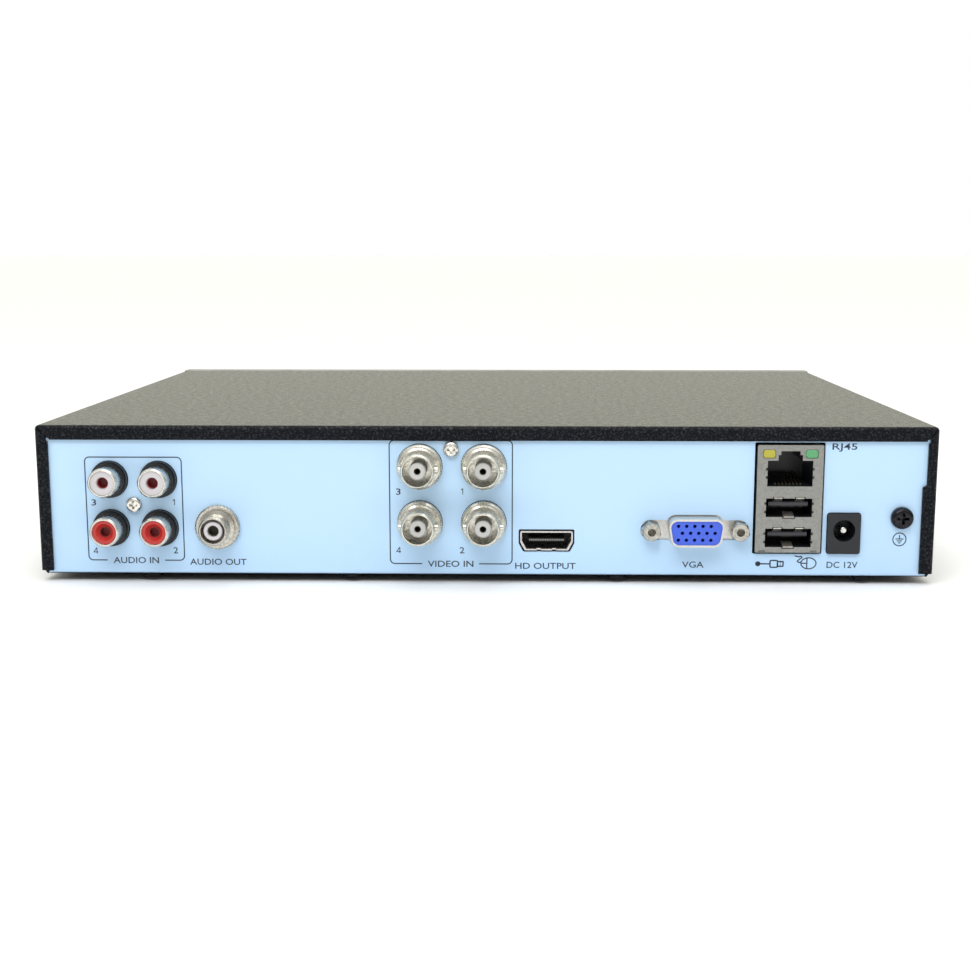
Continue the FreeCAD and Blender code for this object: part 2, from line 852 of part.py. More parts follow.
def bent_lead(r, x0, y0, x1, y1, bend):
    """Lead that runs along +X, turns through one arc and runs along +Y, at the ports' height."""
    corner = V(x1, y0, lead_z)
    a = V(x1 - bend, y0, lead_z)
    b = V(x1, y0 + bend, lead_z)
    middle = corner + V(-bend, bend, 0) + V(1, -1, 0).normalize() * bend
    path = Part.Wire([
        Part.LineSegment(V(x0, y0, lead_z), a).toShape(),
        Part.Arc(a, middle, b).toShape(),
        Part.LineSegment(b, V(x1, y1, lead_z)).toShape(),
    ])
    section = Part.Wire([Part.Circle(V(x0, y0, lead_z), V(1, 0, 0), r).toShape()])
    return path.makePipeShell([section], True, True)


def drive_leads():
    """Data and power leads between the drive's end and the main board."""
    start = drive_end + drive_plug_out
    stop = plug_back() - plug_len
    data = bent_lead(lead_r, start, drive_port_y(data_port_in), data_header_x, stop, data_bend)
    power = bent_lead(lead_r, start, drive_port_y(power_port_in), power_header_x, stop, power_bend)
    return [data, power]


def front_lead_start():
    """Middle of the indicator lead on its board: x and z."""
    return (front_board_w / 2 - 12, lead_z)


def front_lead():
    """Thin lead from the indicator board, straight back to the main board."""
    x, z = front_lead_start()
    start = front_board_y() + board_t + front_plug_d
    return [rod_y(x, z, front_lead_r, start, plug_back() - plug_len)]


# ------------------------------------------------------------------ sockets

def audio_places():
    xs = [from_left(audio_left + i * rca_pitch) for i in range(2)]
    zs = [z_base + audio_low + i * rca_pitch for i in range(2)]
    return [(x, z) for z in zs for x in xs]


def socket_screw_places():
    return [(from_left(audio_screw_left), z_base + audio_screw_h),
            (from_left(video_screw_left), z_base + video_screw_h)]


def audio_in_housing():
    """Black block on the board with a two-step ring round each barrel."""
    xm = from_left(audio_left + rca_pitch / 2)
    half = rca_pitch / 2 + rca_ring_r + rca_block_rim
    top = z_base + audio_low + rca_pitch + rca_ring_r + rca_block_rim
    block = box(xm - half, xm + half, y_panel_in - rca_block_d, y_panel_in, z_board, top)
    rings = []
    bores = []
    for x, z in audio_places():
        rings.append(rod_y(x, z, rca_ring_r, y_panel_in - 1, y_panel + rca_ring_out))
        rings.append(rod_y(x, z, rca_tier_r, y_panel_in - 1, y_panel + rca_tier_out))
        bores.append(rod_y(x, z, rca_stem_r, y_panel_in - rca_back, y_panel + rca_tier_out + 1))
    x, z = socket_screw_places()[0]
    bores.append(rod_y(x, z, screw_r, y_panel_in - 6, y_panel_in + 1))
    return [cut(fuse([block] + rings), bores)]


def audio_in_barrels():
    """Plated sleeves of the four inputs, each with a shoulder against its ring."""
    barrels = []
    start = panel_t + rca_back
    shoulder = start + rca_tier_out
    reach = start + rca_out
    for x, z in audio_places():
        outline = [(rca_insert_r, 0), (rca_stem_r, 0), (rca_stem_r, shoulder), (rca_barrel_r, shoulder),
                   (rca_barrel_r, reach - 0.5), (rca_barrel_r - 0.4, reach),
                   (rca_insert_r + rca_barrel_wall * 0.25, reach), (rca_insert_r, reach - 0.3)]
        barrels.append(revolve_y(outline, x, z, y_panel - start))
    return barrels


def rca_insert(x, z, funnel):
    """Plastic core with the centre hole, flared at the mouth by funnel."""
    start = panel_t + rca_back
    face = start + rca_out - 0.5
    hole = start + 0.6
    outline = [(0, 0), (rca_insert_r, 0), (rca_insert_r, face), (rca_hole_r + funnel, face),
               (rca_hole_r, face - 0.2 - funnel), (rca_hole_r, hole), (0, hole)]
    return revolve_y(outline, x, z, y_panel - start)


def audio_in_white_inserts():
    return [rca_insert(x, z, 0.2) for x, z in audio_places()[2:]]


def audio_in_red_inserts():
    return [rca_insert(x, z, 0.9) for x, z in audio_places()[:2]]


def audio_out_place():
    return from_left(audio_out_left), z_base + audio_out_h


def audio_out_housing():
    x, z = audio_out_place()
    half = rca_barrel_r + 1.85
    block = box(x - half, x + half, y_panel_in - audio_out_block_d, y_panel_in, z_board, z + half)
    return [block.cut(rod_y(x, z, rca_barrel_r, y_panel_in - audio_out_back, y_panel_in + 1))]


def audio_out_barrel():
    """Plated body with a serrated nut against the panel."""
    x, z = audio_out_place()
    start = panel_t + audio_out_back
    reach = start + audio_out_reach
    bore = audio_out_bore_r()
    outline = [(bore, 0), (rca_barrel_r, 0), (rca_barrel_r, start), (nut_r, start), (nut_r, start + 1.5),
               (nut_r - 0.4, start + 1.9), (rca_ring_r, start + 1.9), (rca_ring_r, start + 3.1),
               (rca_barrel_r, start + 3.4),
               (rca_barrel_r, reach - 0.5), (rca_barrel_r - 0.4, reach), (bore + 0.1, reach),
               (bore, reach - 0.2)]
    body = revolve_y(outline, x, z, y_panel - start)
    teeth = []
    tooth_count = 36
    for i in range(tooth_count):
        a = 2 * math.pi * i / tooth_count
        tooth_x, tooth_z = x + nut_r * math.cos(a), z + nut_r * math.sin(a)
        teeth.append(rod_y(tooth_x, tooth_z, 0.22, y_panel - 0.01, y_panel + 2.5))
    return [body.cut(Part.makeCompound(teeth))]


def audio_out_bore_r():
    return rca_barrel_r - 0.75


def audio_out_insert():
    """White core with a narrow moat between it and the barrel."""
    x, z = audio_out_place()
    start = panel_t + audio_out_back
    face = start + audio_out_reach - 0.6
    bore = audio_out_bore_r()
    core = bore - 0.75
    outline = [(0, 0), (bore, 0), (bore, face - 3.5), (core, face - 3.5), (core, face - 0.2),
               (core - 0.2, face), (rca_hole_r + 0.2, face), (rca_hole_r, face - 0.2),
               (rca_hole_r, start + 0.5), (0, start + 0.5)]
    return [revolve_y(outline, x, z, y_panel - start)]


def video_places():
    xs = [from_left(video_left + i * video_pitch_x) for i in range(2)]
    zs = [z_base + video_low + i * video_pitch_z for i in range(2)]
    return [(x, z) for z in zs for x in xs]


video_back_r = 5.4
video_back = 9.0


def video_in_housing():
    xm = from_left(video_left + video_pitch_x / 2)
    half = video_pitch_x / 2 + video_back_r + 1.7
    top = z_base + video_low + video_pitch_z + video_back_r + 2.0
    block = box(xm - half, xm + half, y_panel_in - video_block_d, y_panel_in, z_board, top)
    bores = [rod_y(x, z, video_back_r, y_panel_in - video_back, y_panel_in + 1) for x, z in video_places()]
    x, z = socket_screw_places()[1]
    bores.append(rod_y(x, z, screw_r, y_panel_in - 6, y_panel_in + 1))
    return [cut(block, bores)]


def video_in_barrels():
    """Coaxial bodies with a wide shoulder, two bayonet lugs and a deep annular mouth."""
    start = panel_t + video_back
    reach = start + video_reach
    mouth = start + 2.6
    r = video_barrel_r
    neck = r - video_neck_step
    land = reach - mouth_bevel - video_land
    outline = [(video_insulator_r, 0), (video_back_r, 0), (video_back_r, start - panel_t),
               (nut_r, start - panel_t), (nut_r, start + 2.0), (nut_r - 0.5, start + 2.5),
               (5.7, start + 2.5),
               (5.7, start + 3.4), (5.2, start + 3.7), (neck, start + 3.7), (neck, land), (r, land),
               (r, reach - mouth_bevel), (r - 0.4, reach),
               (video_bore_r + 0.1, reach), (video_bore_r, reach - 0.6), (video_bore_r, mouth),
               (video_insulator_r, mouth)]
    bodies = []
    for x, z in video_places():
        body = revolve_y(outline, x, z, y_panel - start)
        half = video_lug_span / 2
        lug_y = y_panel + video_reach - video_lug_back
        lugs = [rod_x(lug_y, z, video_lug_r, x - half, x - neck + 0.3),
                rod_x(lug_y, z, video_lug_r, x + neck - 0.3, x + half)]
        bodies.append(fuse([body] + lugs))
    return bodies


def video_in_insulators():
    start = panel_t + video_back
    face = start + video_reach - 1.0
    r = video_insulator_r
    hole = video_contact_r
    outline = [(hole, 0), (r, 0), (r, face - 0.3), (r - 0.3, face), (hole, face)]
    return [revolve_y(outline, x, z, y_panel - start) for x, z in video_places()]


def video_in_contacts():
    start = panel_t + video_back
    face = start + video_reach - 1.8
    r = video_contact_r
    outline = [(0, 0), (r, 0), (r, face), (r * 0.6, face), (r * 0.6, face - 5), (0, face - 5)]
    return [revolve_y(outline, x, z, y_panel - start) for x, z in video_places()]


def socket_screws():
    """Bright screws that draw the audio and video blocks to the panel."""
    screw = pan_screw(socket_head_r, 1.5, screw_r, 5.5)
    return [point_screw(screw, V(0, 1, 0), V(x, y_panel, z)) for x, z in socket_screw_places()]


def hd_points(margin):
    """Socket outline: square above, lower corners cut off."""
    x, z = from_left(hd_left), z_base + hd_h
    w, h = hd_w / 2 + margin, hd_tall / 2 + margin
    bevel = 1.5
    foot = 1.3
    return [(x - w, z + h), (x + w, z + h), (x + w, z - h + bevel + 0.9), (x + w - foot, z - h),
            (x - w + foot, z - h), (x - w, z - h + bevel + 0.9)]


def hd_outline(margin, y0, y1):
    prism = prism_y(hd_points(margin), y0, y1)
    return prism.makeFillet(0.5, edges_along(prism, "Y"))


def hd_socket_shell():
    """Drawn shell with two legs on the board and two notches in its lower lip."""
    front = y_panel + hd_out
    outer = hd_outline(0, front - hd_depth, front)
    inner = prism_y(hd_points(-plate_t), front - hd_depth - 1, front + 1)
    x = from_left(hd_left)
    low = z_base + hd_h - hd_tall / 2
    legs = []
    notches = []
    for side in (-1, 1):
        leg_x = x + side * (hd_w / 2 - plate_t)
        legs.append(box(leg_x - 0.2, leg_x + 0.2, front - 8, front - 5, z_board, z_base + hd_h))
        notch_x = x + side * hd_notch_span / 2
        notches.append(box(notch_x - hd_notch_w / 2, notch_x + hd_notch_w / 2,
                           front - hd_notch_d, front + 1, low - 0.1, low + plate_t + 0.05))
    return [cut(fuse([outer.cut(inner)] + legs), notches)]


def hd_socket_tongue():
    x, z = from_left(hd_left), z_base + hd_h
    front = y_panel + hd_out
    back = prism_y(hd_points(-plate_t), front - hd_depth, front - hd_depth + 2.5)
    tongue = box(x - hd_tongue_w / 2, x + hd_tongue_w / 2, front - hd_depth + 2, front - 0.9,
                 z - 0.3, z + 0.6)
    return [fuse([back, tongue])]


def vga_d_points(width, height, x, z):
    """D-shaped outline, wide side up."""
    lean = height * math.tan(math.radians(10))
    top = width / 2
    low = top - lean
    half = height / 2
    return [(x - top, z + half), (x + top, z + half), (x + low, z - half), (x - low, z - half)]


def vga_d(width, height, y0, y1, r):
    x, z = from_left(vga_left), z_base + vga_h
    prism = prism_y(vga_d_points(width, height, x, z), y0, y1)
    return prism.makeFillet(r, edges_along(prism, "Y"))


def vga_cutouts(y0, y1):
    x, z = from_left(vga_left), z_base + vga_h
    half_w, half_h = vga_flange_w / 2, vga_slot_h / 2
    slot = soft_box(x - half_w, x + half_w, y0, y1, z - half_h, z + half_h, half_h - 0.01, "Y")
    return [slot, vga_d(vga_shell_w + 0.8, vga_shell_h + 0.8, y0, y1, 2.6)]


def vga_core(y0, y1):
    """What the shell leaves free inside."""
    return vga_d(vga_shell_w - 2 * vga_rim_t, vga_shell_h - 2 * vga_rim_t, y0, y1, 1.9)


def vga_flange():
    """Plated flange against the panel's inner face, with the D-shaped shell drawn out of it."""
    x, z = from_left(vga_left), z_base + vga_h
    half = vga_flange_w / 2
    back = y_panel_in - vga_flange_t
    plate = soft_box(x - half, x + half, back, y_panel_in, z - vga_flange_h / 2 + 0.8,
                     z + vga_flange_h / 2, 1.5, "Y")
    shell = vga_d(vga_shell_w, vga_shell_h, back, y_panel + vga_reach, 2.4)
    tools = [vga_core(y_panel_in - 2, y_panel + vga_reach + 1)]
    for side in (-1, 1):
        tools.append(rod_y(x + side * vga_spacing / 2, z, screw_r, y_panel_in - 2, y_panel_in + 1))
    return [cut(fuse([plate, shell]), tools)]


def vga_insert():
    """Moulded core with three rows of five contact holes."""
    x, z = from_left(vga_left), z_base + vga_h
    core = vga_core(y_panel_in - 2, y_panel + vga_reach - vga_core_in)
    back = box(x - 8.0, x + 8.0, y_panel_in - 9, y_panel_in - vga_flange_t, z_board, z + 5.0)
    holes = []
    for row in (-1, 0, 1):
        shift = -vga_pin_pitch_x / 4 if row == 0 else vga_pin_pitch_x / 4
        for i in range(-2, 3):
            pin_x = x + i * vga_pin_pitch_x + shift
            holes.append(rod_y(pin_x, z + row * vga_pin_pitch_z, vga_pin_r, y_panel, y_panel + vga_reach))
    return [fuse([core, back]).cut(Part.makeCompound(holes))]


def vga_jackscrews():
    """Hexagonal posts with a tapped hole, screwed through the flange."""
    x, z = from_left(vga_left), z_base + vga_h
    posts = []
    corner = jack_flats / math.sqrt(3)
    for side in (-1, 1):
        xc = x + side * vga_spacing / 2
        points = [(xc + corner * math.cos(math.radians(60 * i + 15)),
                   z + corner * math.sin(math.radians(60 * i + 15))) for i in range(6)]
        hexagon = prism_y(points, y_panel_in, y_panel + jack_reach)
        cone_r = corner + 0.1
        round_end = revolve_y([(0, -1), (cone_r, -1), (cone_r, jack_reach - 0.9),
                               (jack_flats / 2 - 0.1, jack_reach), (0, jack_reach)], xc, z, y_panel)
        stem = rod_y(xc, z, screw_r, y_panel_in - 4, y_panel_in)
        hole = rod_y(xc, z, jack_hole_r, y_panel + jack_reach - 5.5, y_panel + jack_reach + 1)
        posts.append(fuse([hexagon.common(round_end), stem]).cut(hole))
    return posts


# ------------------------------------------------------------------ network and twin data socket stack

def stack_box(inset, y0, y1):
    x = from_left(stack_left)
    half = stack_w / 2 - inset
    return box(x - half, x + half, y0, y1, z_base + stack_bottom + inset, z_base + stack_top - inset)


def lan_outline(margin, y0, y1):
    """Network opening: wide mouth with a two-step key above it."""
    x = from_left(stack_left)
    steps = ((lan_w, lan_bottom, lan_top), (lan_step_w, lan_top - 1, lan_step_top),
             (lan_key_w, lan_step_top - 1, lan_key_top))
    boxes = []
    for w, low, high in steps:
        boxes.append(box(x - w / 2 - margin, x + w / 2 + margin, y0, y1, z_base + low - margin,
                         z_base + high + margin))
    return fuse(boxes)


def usb_outline(margin, height, y0, y1):
    x = from_left(stack_left)
    w, h = usb_w / 2 + margin, usb_tall / 2 + margin
    return box(x - w, x + w, y0, y1, z_base + height - h, z_base + height + h)


def lamp_places():
    x = from_left(stack_left)
    return [(x + lamp_span / 2, z_base + lamp_h_mid), (x - lamp_span / 2, z_base + lamp_h_mid)]


def lamp_box(x, z, margin, y0, y1):
    w, h = lamp_w / 2 + margin, lamp_h / 2 + margin
    return soft_box(x - w, x + w, y0, y1, z - h, z + h, 0.7, "Y")


def port_cage():
    """Thin plated box round the stacked sockets, open below."""
    front = y_panel + stack_out
    outer = soft_box(*stack_limits(front), 0.4, "Y")
    room = stack_box(cage_t, front - stack_depth + cage_t, front - cage_t)
    floor = stack_box(cage_t, front - stack_depth + cage_t, y_panel_in - 1)
    floor.translate(V(0, 0, -2))
    tools = [room, floor, lan_outline(0, front - cage_t - 1, front + 1)]
    for height in (usb_upper, usb_lower):
        tools.append(usb_outline(0, height, front - cage_t - 1, front + 1))
    for x, z in lamp_places():
        tools.append(lamp_box(x, z, 0.1, front - cage_t - 1, front + 1))
    tools += cage_notches(front)
    return [cut(outer, tools)]


def cage_notches(front):
    """Slots round the spring tabs, and small notches in the openings' sides."""
    x = from_left(stack_left)
    y0, y1 = front - cage_t - 0.05, front + 1
    tools = []
    for height in (usb_upper, usb_lower):
        low = z_base + height - usb_tall / 2
        top = low + usb_tall
        for tab_x, tab_w, z0, z1 in (
            (x - usb_tab_span / 2, usb_tab_w, top - 0.1, top + tab_rise),
            (x + usb_tab_span / 2, usb_tab_w, top - 0.1, top + tab_rise),
            (x, usb_low_tab_w, low - tab_rise, low + 0.1),
        ):
            half = tab_w / 2 + tab_relief
            tools.append(box(tab_x - half, tab_x + half, y0, y1, z0, z1))
        heights = [low + usb_tall * part for part in (usb_notch_low, usb_notch_high)]
        tools += side_notches(usb_w / 2, heights, y0, y1)
    lan_tall = lan_top - lan_bottom
    heights = [z_base + lan_bottom + lan_tall * part for part in (lan_notch_low, lan_notch_high)]
    tools += side_notches(lan_w / 2, heights, y0, y1)
    foot = z_base + stack_bottom
    for side in (-1, 1):
        slit = x + side * (stack_w / 2 - slit_in)
        tools.append(box(slit - slit_w / 2, slit + slit_w / 2, y0, y1, foot + slit_low, foot + slit_high))
    return tools


def side_notches(half_w, heights, y0, y1):
    """Notches cut outwards from both sides of an opening."""
    x = from_left(stack_left)
    tools = []
    for z in heights:
        for side in (-1, 1):
            edge = x + side * half_w
            x0, x1 = sorted((edge - side * 0.05, edge + side * notch_w))
            tools.append(box(x0, x1, y0, y1, z - notch_h / 2, z + notch_h / 2))
    return tools


def stack_limits(front):
    x = from_left(stack_left)
    half = stack_w / 2
    return x - half, x + half, front - stack_depth, front, z_base + stack_bottom, z_base + stack_top


def port_core():
    """Black moulding inside the cage, with the three cavities and the lamps' channels."""
    front = y_panel + stack_out - cage_t
    core = stack_box(cage_t, front - stack_depth + 2 * cage_t, front)
    tools = [lan_outline(0, front - lan_depth, front + 1)]
    for height in (usb_upper, usb_lower):
        tools.append(usb_outline(0, height, front - usb_depth, front + 1))
    for x, z in lamp_places():
        tools.append(lamp_box(x, z, 0.1, front - 9, front + 1))
    return [cut(core, tools)]


def lan_lamp(index):
    x, z = lamp_places()[index]
    front = y_panel + stack_out
    lamp = lamp_box(x, z, 0, front - 9, front + 0.2)
    face = [e for e in lamp.Edges if e.CenterOfMass.y > front + 0.19]
    return [lamp.makeChamfer(0.2, face)]


def lan_contacts():
    """Eight spring wires that rise from the opening's floor towards the back."""
    x = from_left(stack_left)
    front = y_panel + stack_out - cage_t
    low = z_base + lan_bottom
    wires = []
    pitch = 1.02
    wire_t = 0.35
    for i in range(8):
        xc = x + (i - 3.5) * pitch
        side = [(front - 3.0, low), (front - 3.0, low + 0.5), (front - 11.0, low + 2.0),
                (front - lan_depth, low + 2.0), (front - lan_depth, low + 1.6), (front - 11.0, low + 1.6)]
        outline = Part.makePolygon([V(xc - wire_t / 2, y, z) for y, z in side + side[:1]])
        wires.append(Part.Face(outline).extrude(V(wire_t, 0, 0)))
    return wires


def usb_tongues():
    """Contact tongues in the upper half of both data sockets."""
    x = from_left(stack_left)
    front = y_panel + stack_out - cage_t
    tongues = []
    for height in (usb_upper, usb_lower):
        top = z_base + height + usb_tall / 2 - usb_tongue_down
        tongue = box(x - usb_tongue_w / 2, x + usb_tongue_w / 2, front - usb_depth, front - usb_tongue_in,
                     top - usb_tongue_t, top)
        tip = [e for e in edges_along(tongue, "X") if e.CenterOfMass.y > front - usb_tongue_in - 0.01]
        tongues.append(tongue.makeChamfer(0.35, tip))
    return tongues


# ------------------------------------------------------------------ power inlet and ground terminal

def power_jack():
    x, z = from_left(power_left), z_base + power_h
    front = y_panel + power_out
    body = soft_box(x - power_w / 2, x + power_w / 2, front - power_depth, front,
                    z - power_tall / 2, z + power_tall / 2, 0.7, "Y")
    bore = rod_y(x, z_base + power_bore_h, power_bore_r, front - 9.5, front + 1)
    pin_seat = rod_y(x, z_base + power_bore_h, power_pin_r, front - 12, front)
    return [cut(body, [bore, pin_seat])]


def power_jack_pin():
    x, z = from_left(power_left), z_base + power_bore_h
    front = y_panel + power_out
    pin = rod_y(x, z, power_pin_r, front - 12, front - 0.8)
    tip = [e for e in circles(pin) if e.CenterOfMass.y > front - 1]
    return [pin.makeFillet(0.5, tip)]


def ground_screw():
    x, z = from_left(ground_left), z_base + ground_h
    screw = pan_screw(ground_head_r, ground_head_h, screw_r, ground_len)
    return [point_screw(screw, V(0, 1, 0), V(x, y_panel + run_gap, z))]


def ground_nut():
    """Clinched nut behind the panel."""
    x, z = from_left(ground_left), z_base + ground_h
    return [ring_y(x, z, 3.2, screw_r + run_gap, y_panel_in - 2.6, y_panel_in)]


# ------------------------------------------------------------------ hard drive

drive_floor_t = 3.0
platter_x = drive_x0 + 2.0 + platter_r + cavity_gap
platter_y = drive_y0 + drive_w / 2
pivot_x = platter_x + 56.4
pivot_y = platter_y - 8.0
arm_reach = 46.0
arm_park = 55.0         # angle between the parked arm and the line from pivot to spindle
arm_t = 0.8
disc_low = 4.0          # lower disc above the chamber's floor
cavity_low = drive_z0 + drive_floor_t
cavity_top = drive_z0 + drive_h - drive_lid_t


def drive_hole_places():
    """The drive's four bottom screws, at the usual pitches of a 3.5 inch drive."""
    across = 95.25
    along = 76.2
    first = drive_end - 41.28
    y_mid = drive_y0 + drive_w / 2
    return [(x, y_mid + s * across / 2) for x in (first, first - along) for s in (-1, 1)]


def drive_casting():
    """Cast base with the disc chamber, the arm's bay, and ports in its end."""
    body = soft_box(drive_x0, drive_end, drive_y0, drive_y0 + drive_w, drive_z0, cavity_top, 3.0, "Z")
    chamber = rod_z(platter_x, platter_y, platter_r + cavity_gap, cavity_low, cavity_top + 1)
    bay = box(platter_x + 20, drive_end - 12, drive_y0 + 5, drive_y0 + drive_w - 5,
              cavity_low, cavity_top + 1)
    spigot = rod_z(platter_x, platter_y, hub_r * 0.5, cavity_low - 1, cavity_low + 12)
    post = rod_z(pivot_x, pivot_y, 3.0, cavity_low - 1, cavity_top)
    tools = []
    for x, y in drive_hole_places():
        tools.append(rod_z(x, y, screw_r, drive_z0 - 1, drive_z0 + 2.5))
    tools.append(drive_board_room(0.3, drive_z0 - 1, drive_z0 + 2.2))
    for inset, w in ((data_port_in, 11.0), (power_port_in, 20.0)):
        y = drive_port_y(inset)
        tools.append(box(drive_end - 7, drive_end + 1, y - w / 2, y + w / 2, lead_z - 2.0, lead_z + 2.0))
    return [fuse([cut(body, [chamber, bay]), spigot, post]).cut(Part.makeCompound(tools))]


def drive_board_room(margin, z0, z1):
    x1 = drive_end - 14
    inset = 14 - margin
    return box(x1 - 92 - margin, x1 + margin, drive_y0 + inset, drive_y0 + drive_w - inset, z0, z1)


def drive_board():
    """Controller board in a recess under the casting."""
    return [drive_board_room(0, drive_z0 + 1.0, drive_z0 + 2.2)]


def drive_lid():
    lid = soft_box(drive_x0 + 1, drive_end - 1, drive_y0 + 1, drive_y0 + drive_w - 1,
                   cavity_top, cavity_top + drive_lid_t, 3.0, "Z")
    dish = rod_z(platter_x, platter_y, 18, cavity_top + drive_lid_t - 0.4, cavity_top + drive_lid_t + 1)
    return [lid.cut(dish)]


def drive_platters():
    """Two discs on their hub, turning round the casting's spigot."""
    z = cavity_low + disc_low
    discs = [rod_z(platter_x, platter_y, platter_r, z + i * platter_gap, z + i * platter_gap + platter_t)
             for i in range(2)]
    hub = rod_z(platter_x, platter_y, hub_r, cavity_low + 0.5, z + platter_gap + platter_t + 2.0)
    bore = rod_z(platter_x, platter_y, hub_r * 0.5 + run_gap, cavity_low, cavity_low + 12 + 0.3)
    return [cut(fuse([hub] + discs), [bore])]


def head_arm():
    """Three thin arms on a pivot sleeve, parked clear of the discs."""
    z = cavity_low + disc_low
    sleeve = rod_z(pivot_x, pivot_y, 7.0, cavity_low + 0.6, z + platter_gap + platter_t + 4)
    levels = [z - 1.9, z + platter_t + 1.1, z + platter_gap + platter_t + 1.1]
    arms = []
    for low in levels:
        points = [(0, -5.0), (-arm_reach, -1.5), (-arm_reach, 1.5), (0, 5.0)]
        arms.append(prism_z([(pivot_x + px, pivot_y + py) for px, py in points], low, low + arm_t))
    coil = box(pivot_x + 4, pivot_x + 17, pivot_y - 8, pivot_y + 8, z + 3, z + 6)
    whole = fuse([sleeve, coil] + arms)
    whole = whole.cut(rod_z(pivot_x, pivot_y, 3.0 + run_gap, cavity_low, cavity_top + 1))
    whole.rotate(V(pivot_x, pivot_y, 0), V(0, 0, 1), park_angle())
    return [whole.removeSplitter()]


def park_angle():
    """Turn of the parked arm from the -X direction."""
    towards_hub = math.degrees(math.atan2(platter_y - pivot_y, pivot_x - platter_x))
    return -towards_hub + arm_park


def drive_spacers():
    """Soft rings between the tray's floor and the drive."""
    rings = []
    for x, y in drive_hole_places():
        ring = rod_z(x, y, spacer_r, z_floor, drive_z0)
        rings.append(ring.cut(rod_z(x, y, screw_r, z_floor - 1, drive_z0 + 1)))
    return rings


def drive_screws():
    screw = pan_screw(screw_head_r, screw_head_h * 0.9, screw_r, tray_t + spacer_h + 2.4)
    return [point_screw(screw, V(0, 0, -1), V(x, y, z_base)) for x, y in drive_hole_places()]


NODES = {
    "top_cover": lambda: [top_cover()],
    "base_tray": lambda: [base_tray()],
    "rear_panel": lambda: [rear_panel()],
    "front_bezel": lambda: [front_bezel()],
    "front_window": front_window,
    "light_pipes": light_pipes,
    "front_board": front_board,
    "front_lamps": front_lamps,
    "remote_receiver": remote_receiver,
    "rubber_feet": rubber_feet,
    "cover_screws": cover_screws,
    "panel_rivets": panel_rivets,
    "board_standoffs": board_standoffs,
    "board_screws": board_screws,
    "main_board": main_board,
    "heat_sink": heat_sink,
    "board_chips": board_chips,
    "capacitors": capacitors,
    "inductors": inductors,
    "cell_holder": cell_holder,
    "coin_cell": coin_cell,
    "buzzer": buzzer,
    "board_headers": board_headers,
    "lead_plugs": lead_plugs,
    "drive_leads": drive_leads,
    "front_lead": front_lead,
    "audio_in_housing": audio_in_housing,
    "audio_in_barrels": audio_in_barrels,
    "audio_in_white_inserts": audio_in_white_inserts,
    "audio_in_red_inserts": audio_in_red_inserts,
    "audio_out_housing": audio_out_housing,
    "audio_out_barrel": audio_out_barrel,
    "audio_out_insert": audio_out_insert,
    "video_in_housing": video_in_housing,
    "video_in_barrels": video_in_barrels,
    "video_in_insulators": video_in_insulators,
    "video_in_contacts": video_in_contacts,
    "socket_screws": socket_screws,
    "hd_socket_shell": hd_socket_shell,
    "hd_socket_tongue": hd_socket_tongue,
    "vga_flange": vga_flange,
    "vga_insert": vga_insert,
    "vga_jackscrews": vga_jackscrews,
    "port_cage": port_cage,
    "port_core": port_core,
    "lan_contacts": lan_contacts,
    "lan_lamp_yellow": lambda: lan_lamp(0),
    "lan_lamp_green": lambda: lan_lamp(1),
    "usb_tongues": usb_tongues,
    "power_jack": power_jack,
    "power_jack_pin": power_jack_pin,
    "ground_screw": ground_screw,
    "ground_nut": ground_nut,
    "drive_casting": drive_casting,
    "drive_lid": drive_lid,
    "drive_platters": drive_platters,
    "head_arm": head_arm,
    "drive_board": drive_board,
    "drive_spacers": drive_spacers,
    "drive_screws": drive_screws,
}

os.makedirs("parts", exist_ok=True)
for node_name, make in NODES.items():
    save(node_name, make())
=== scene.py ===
"""Finishes, printing, small parts and stage for a four-channel security video recorder."""

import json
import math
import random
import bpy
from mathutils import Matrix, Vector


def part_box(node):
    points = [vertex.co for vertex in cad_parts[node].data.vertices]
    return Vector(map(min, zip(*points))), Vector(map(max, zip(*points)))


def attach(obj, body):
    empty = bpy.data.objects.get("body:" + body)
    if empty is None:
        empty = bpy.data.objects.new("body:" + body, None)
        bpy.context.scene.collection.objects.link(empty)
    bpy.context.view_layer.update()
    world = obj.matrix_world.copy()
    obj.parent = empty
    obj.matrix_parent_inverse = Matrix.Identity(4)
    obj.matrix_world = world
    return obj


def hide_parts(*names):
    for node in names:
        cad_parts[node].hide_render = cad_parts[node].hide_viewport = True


bl_info = {
    "name": "Security recorder finish",
    "version": (1, 0, 0),
    "blender": (4, 5, 0),
    "location": "3D View > Sidebar > Recorder",
    "description": "Finishes, printing, small parts and stage for a four-channel security video recorder",
    "category": "Object",
}

import bmesh
import bpy
from mathutils import Matrix, Vector

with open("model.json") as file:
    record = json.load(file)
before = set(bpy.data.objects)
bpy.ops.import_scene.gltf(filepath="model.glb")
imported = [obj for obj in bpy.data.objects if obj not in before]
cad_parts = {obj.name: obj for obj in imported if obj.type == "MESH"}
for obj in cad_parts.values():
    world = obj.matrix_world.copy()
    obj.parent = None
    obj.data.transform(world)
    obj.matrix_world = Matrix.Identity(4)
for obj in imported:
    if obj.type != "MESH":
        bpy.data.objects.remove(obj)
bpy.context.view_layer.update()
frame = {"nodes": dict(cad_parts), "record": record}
NODES = frame["nodes"]
MM = 0.001

CASE_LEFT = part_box("top_cover")[1].x
CASE_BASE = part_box("base_tray")[0].z
PANEL_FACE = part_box("rear_panel")[1].y
BEZEL_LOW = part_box("front_bezel")[0]


def middle_of(box):
    return (box[0] + box[1]) / 2


def even_steps(start, stop, count):
    """Numbers from start to stop, both included."""
    return [start + (stop - start) * i / count for i in range(count + 1)]


# ------------------------------------------------------------------ settings

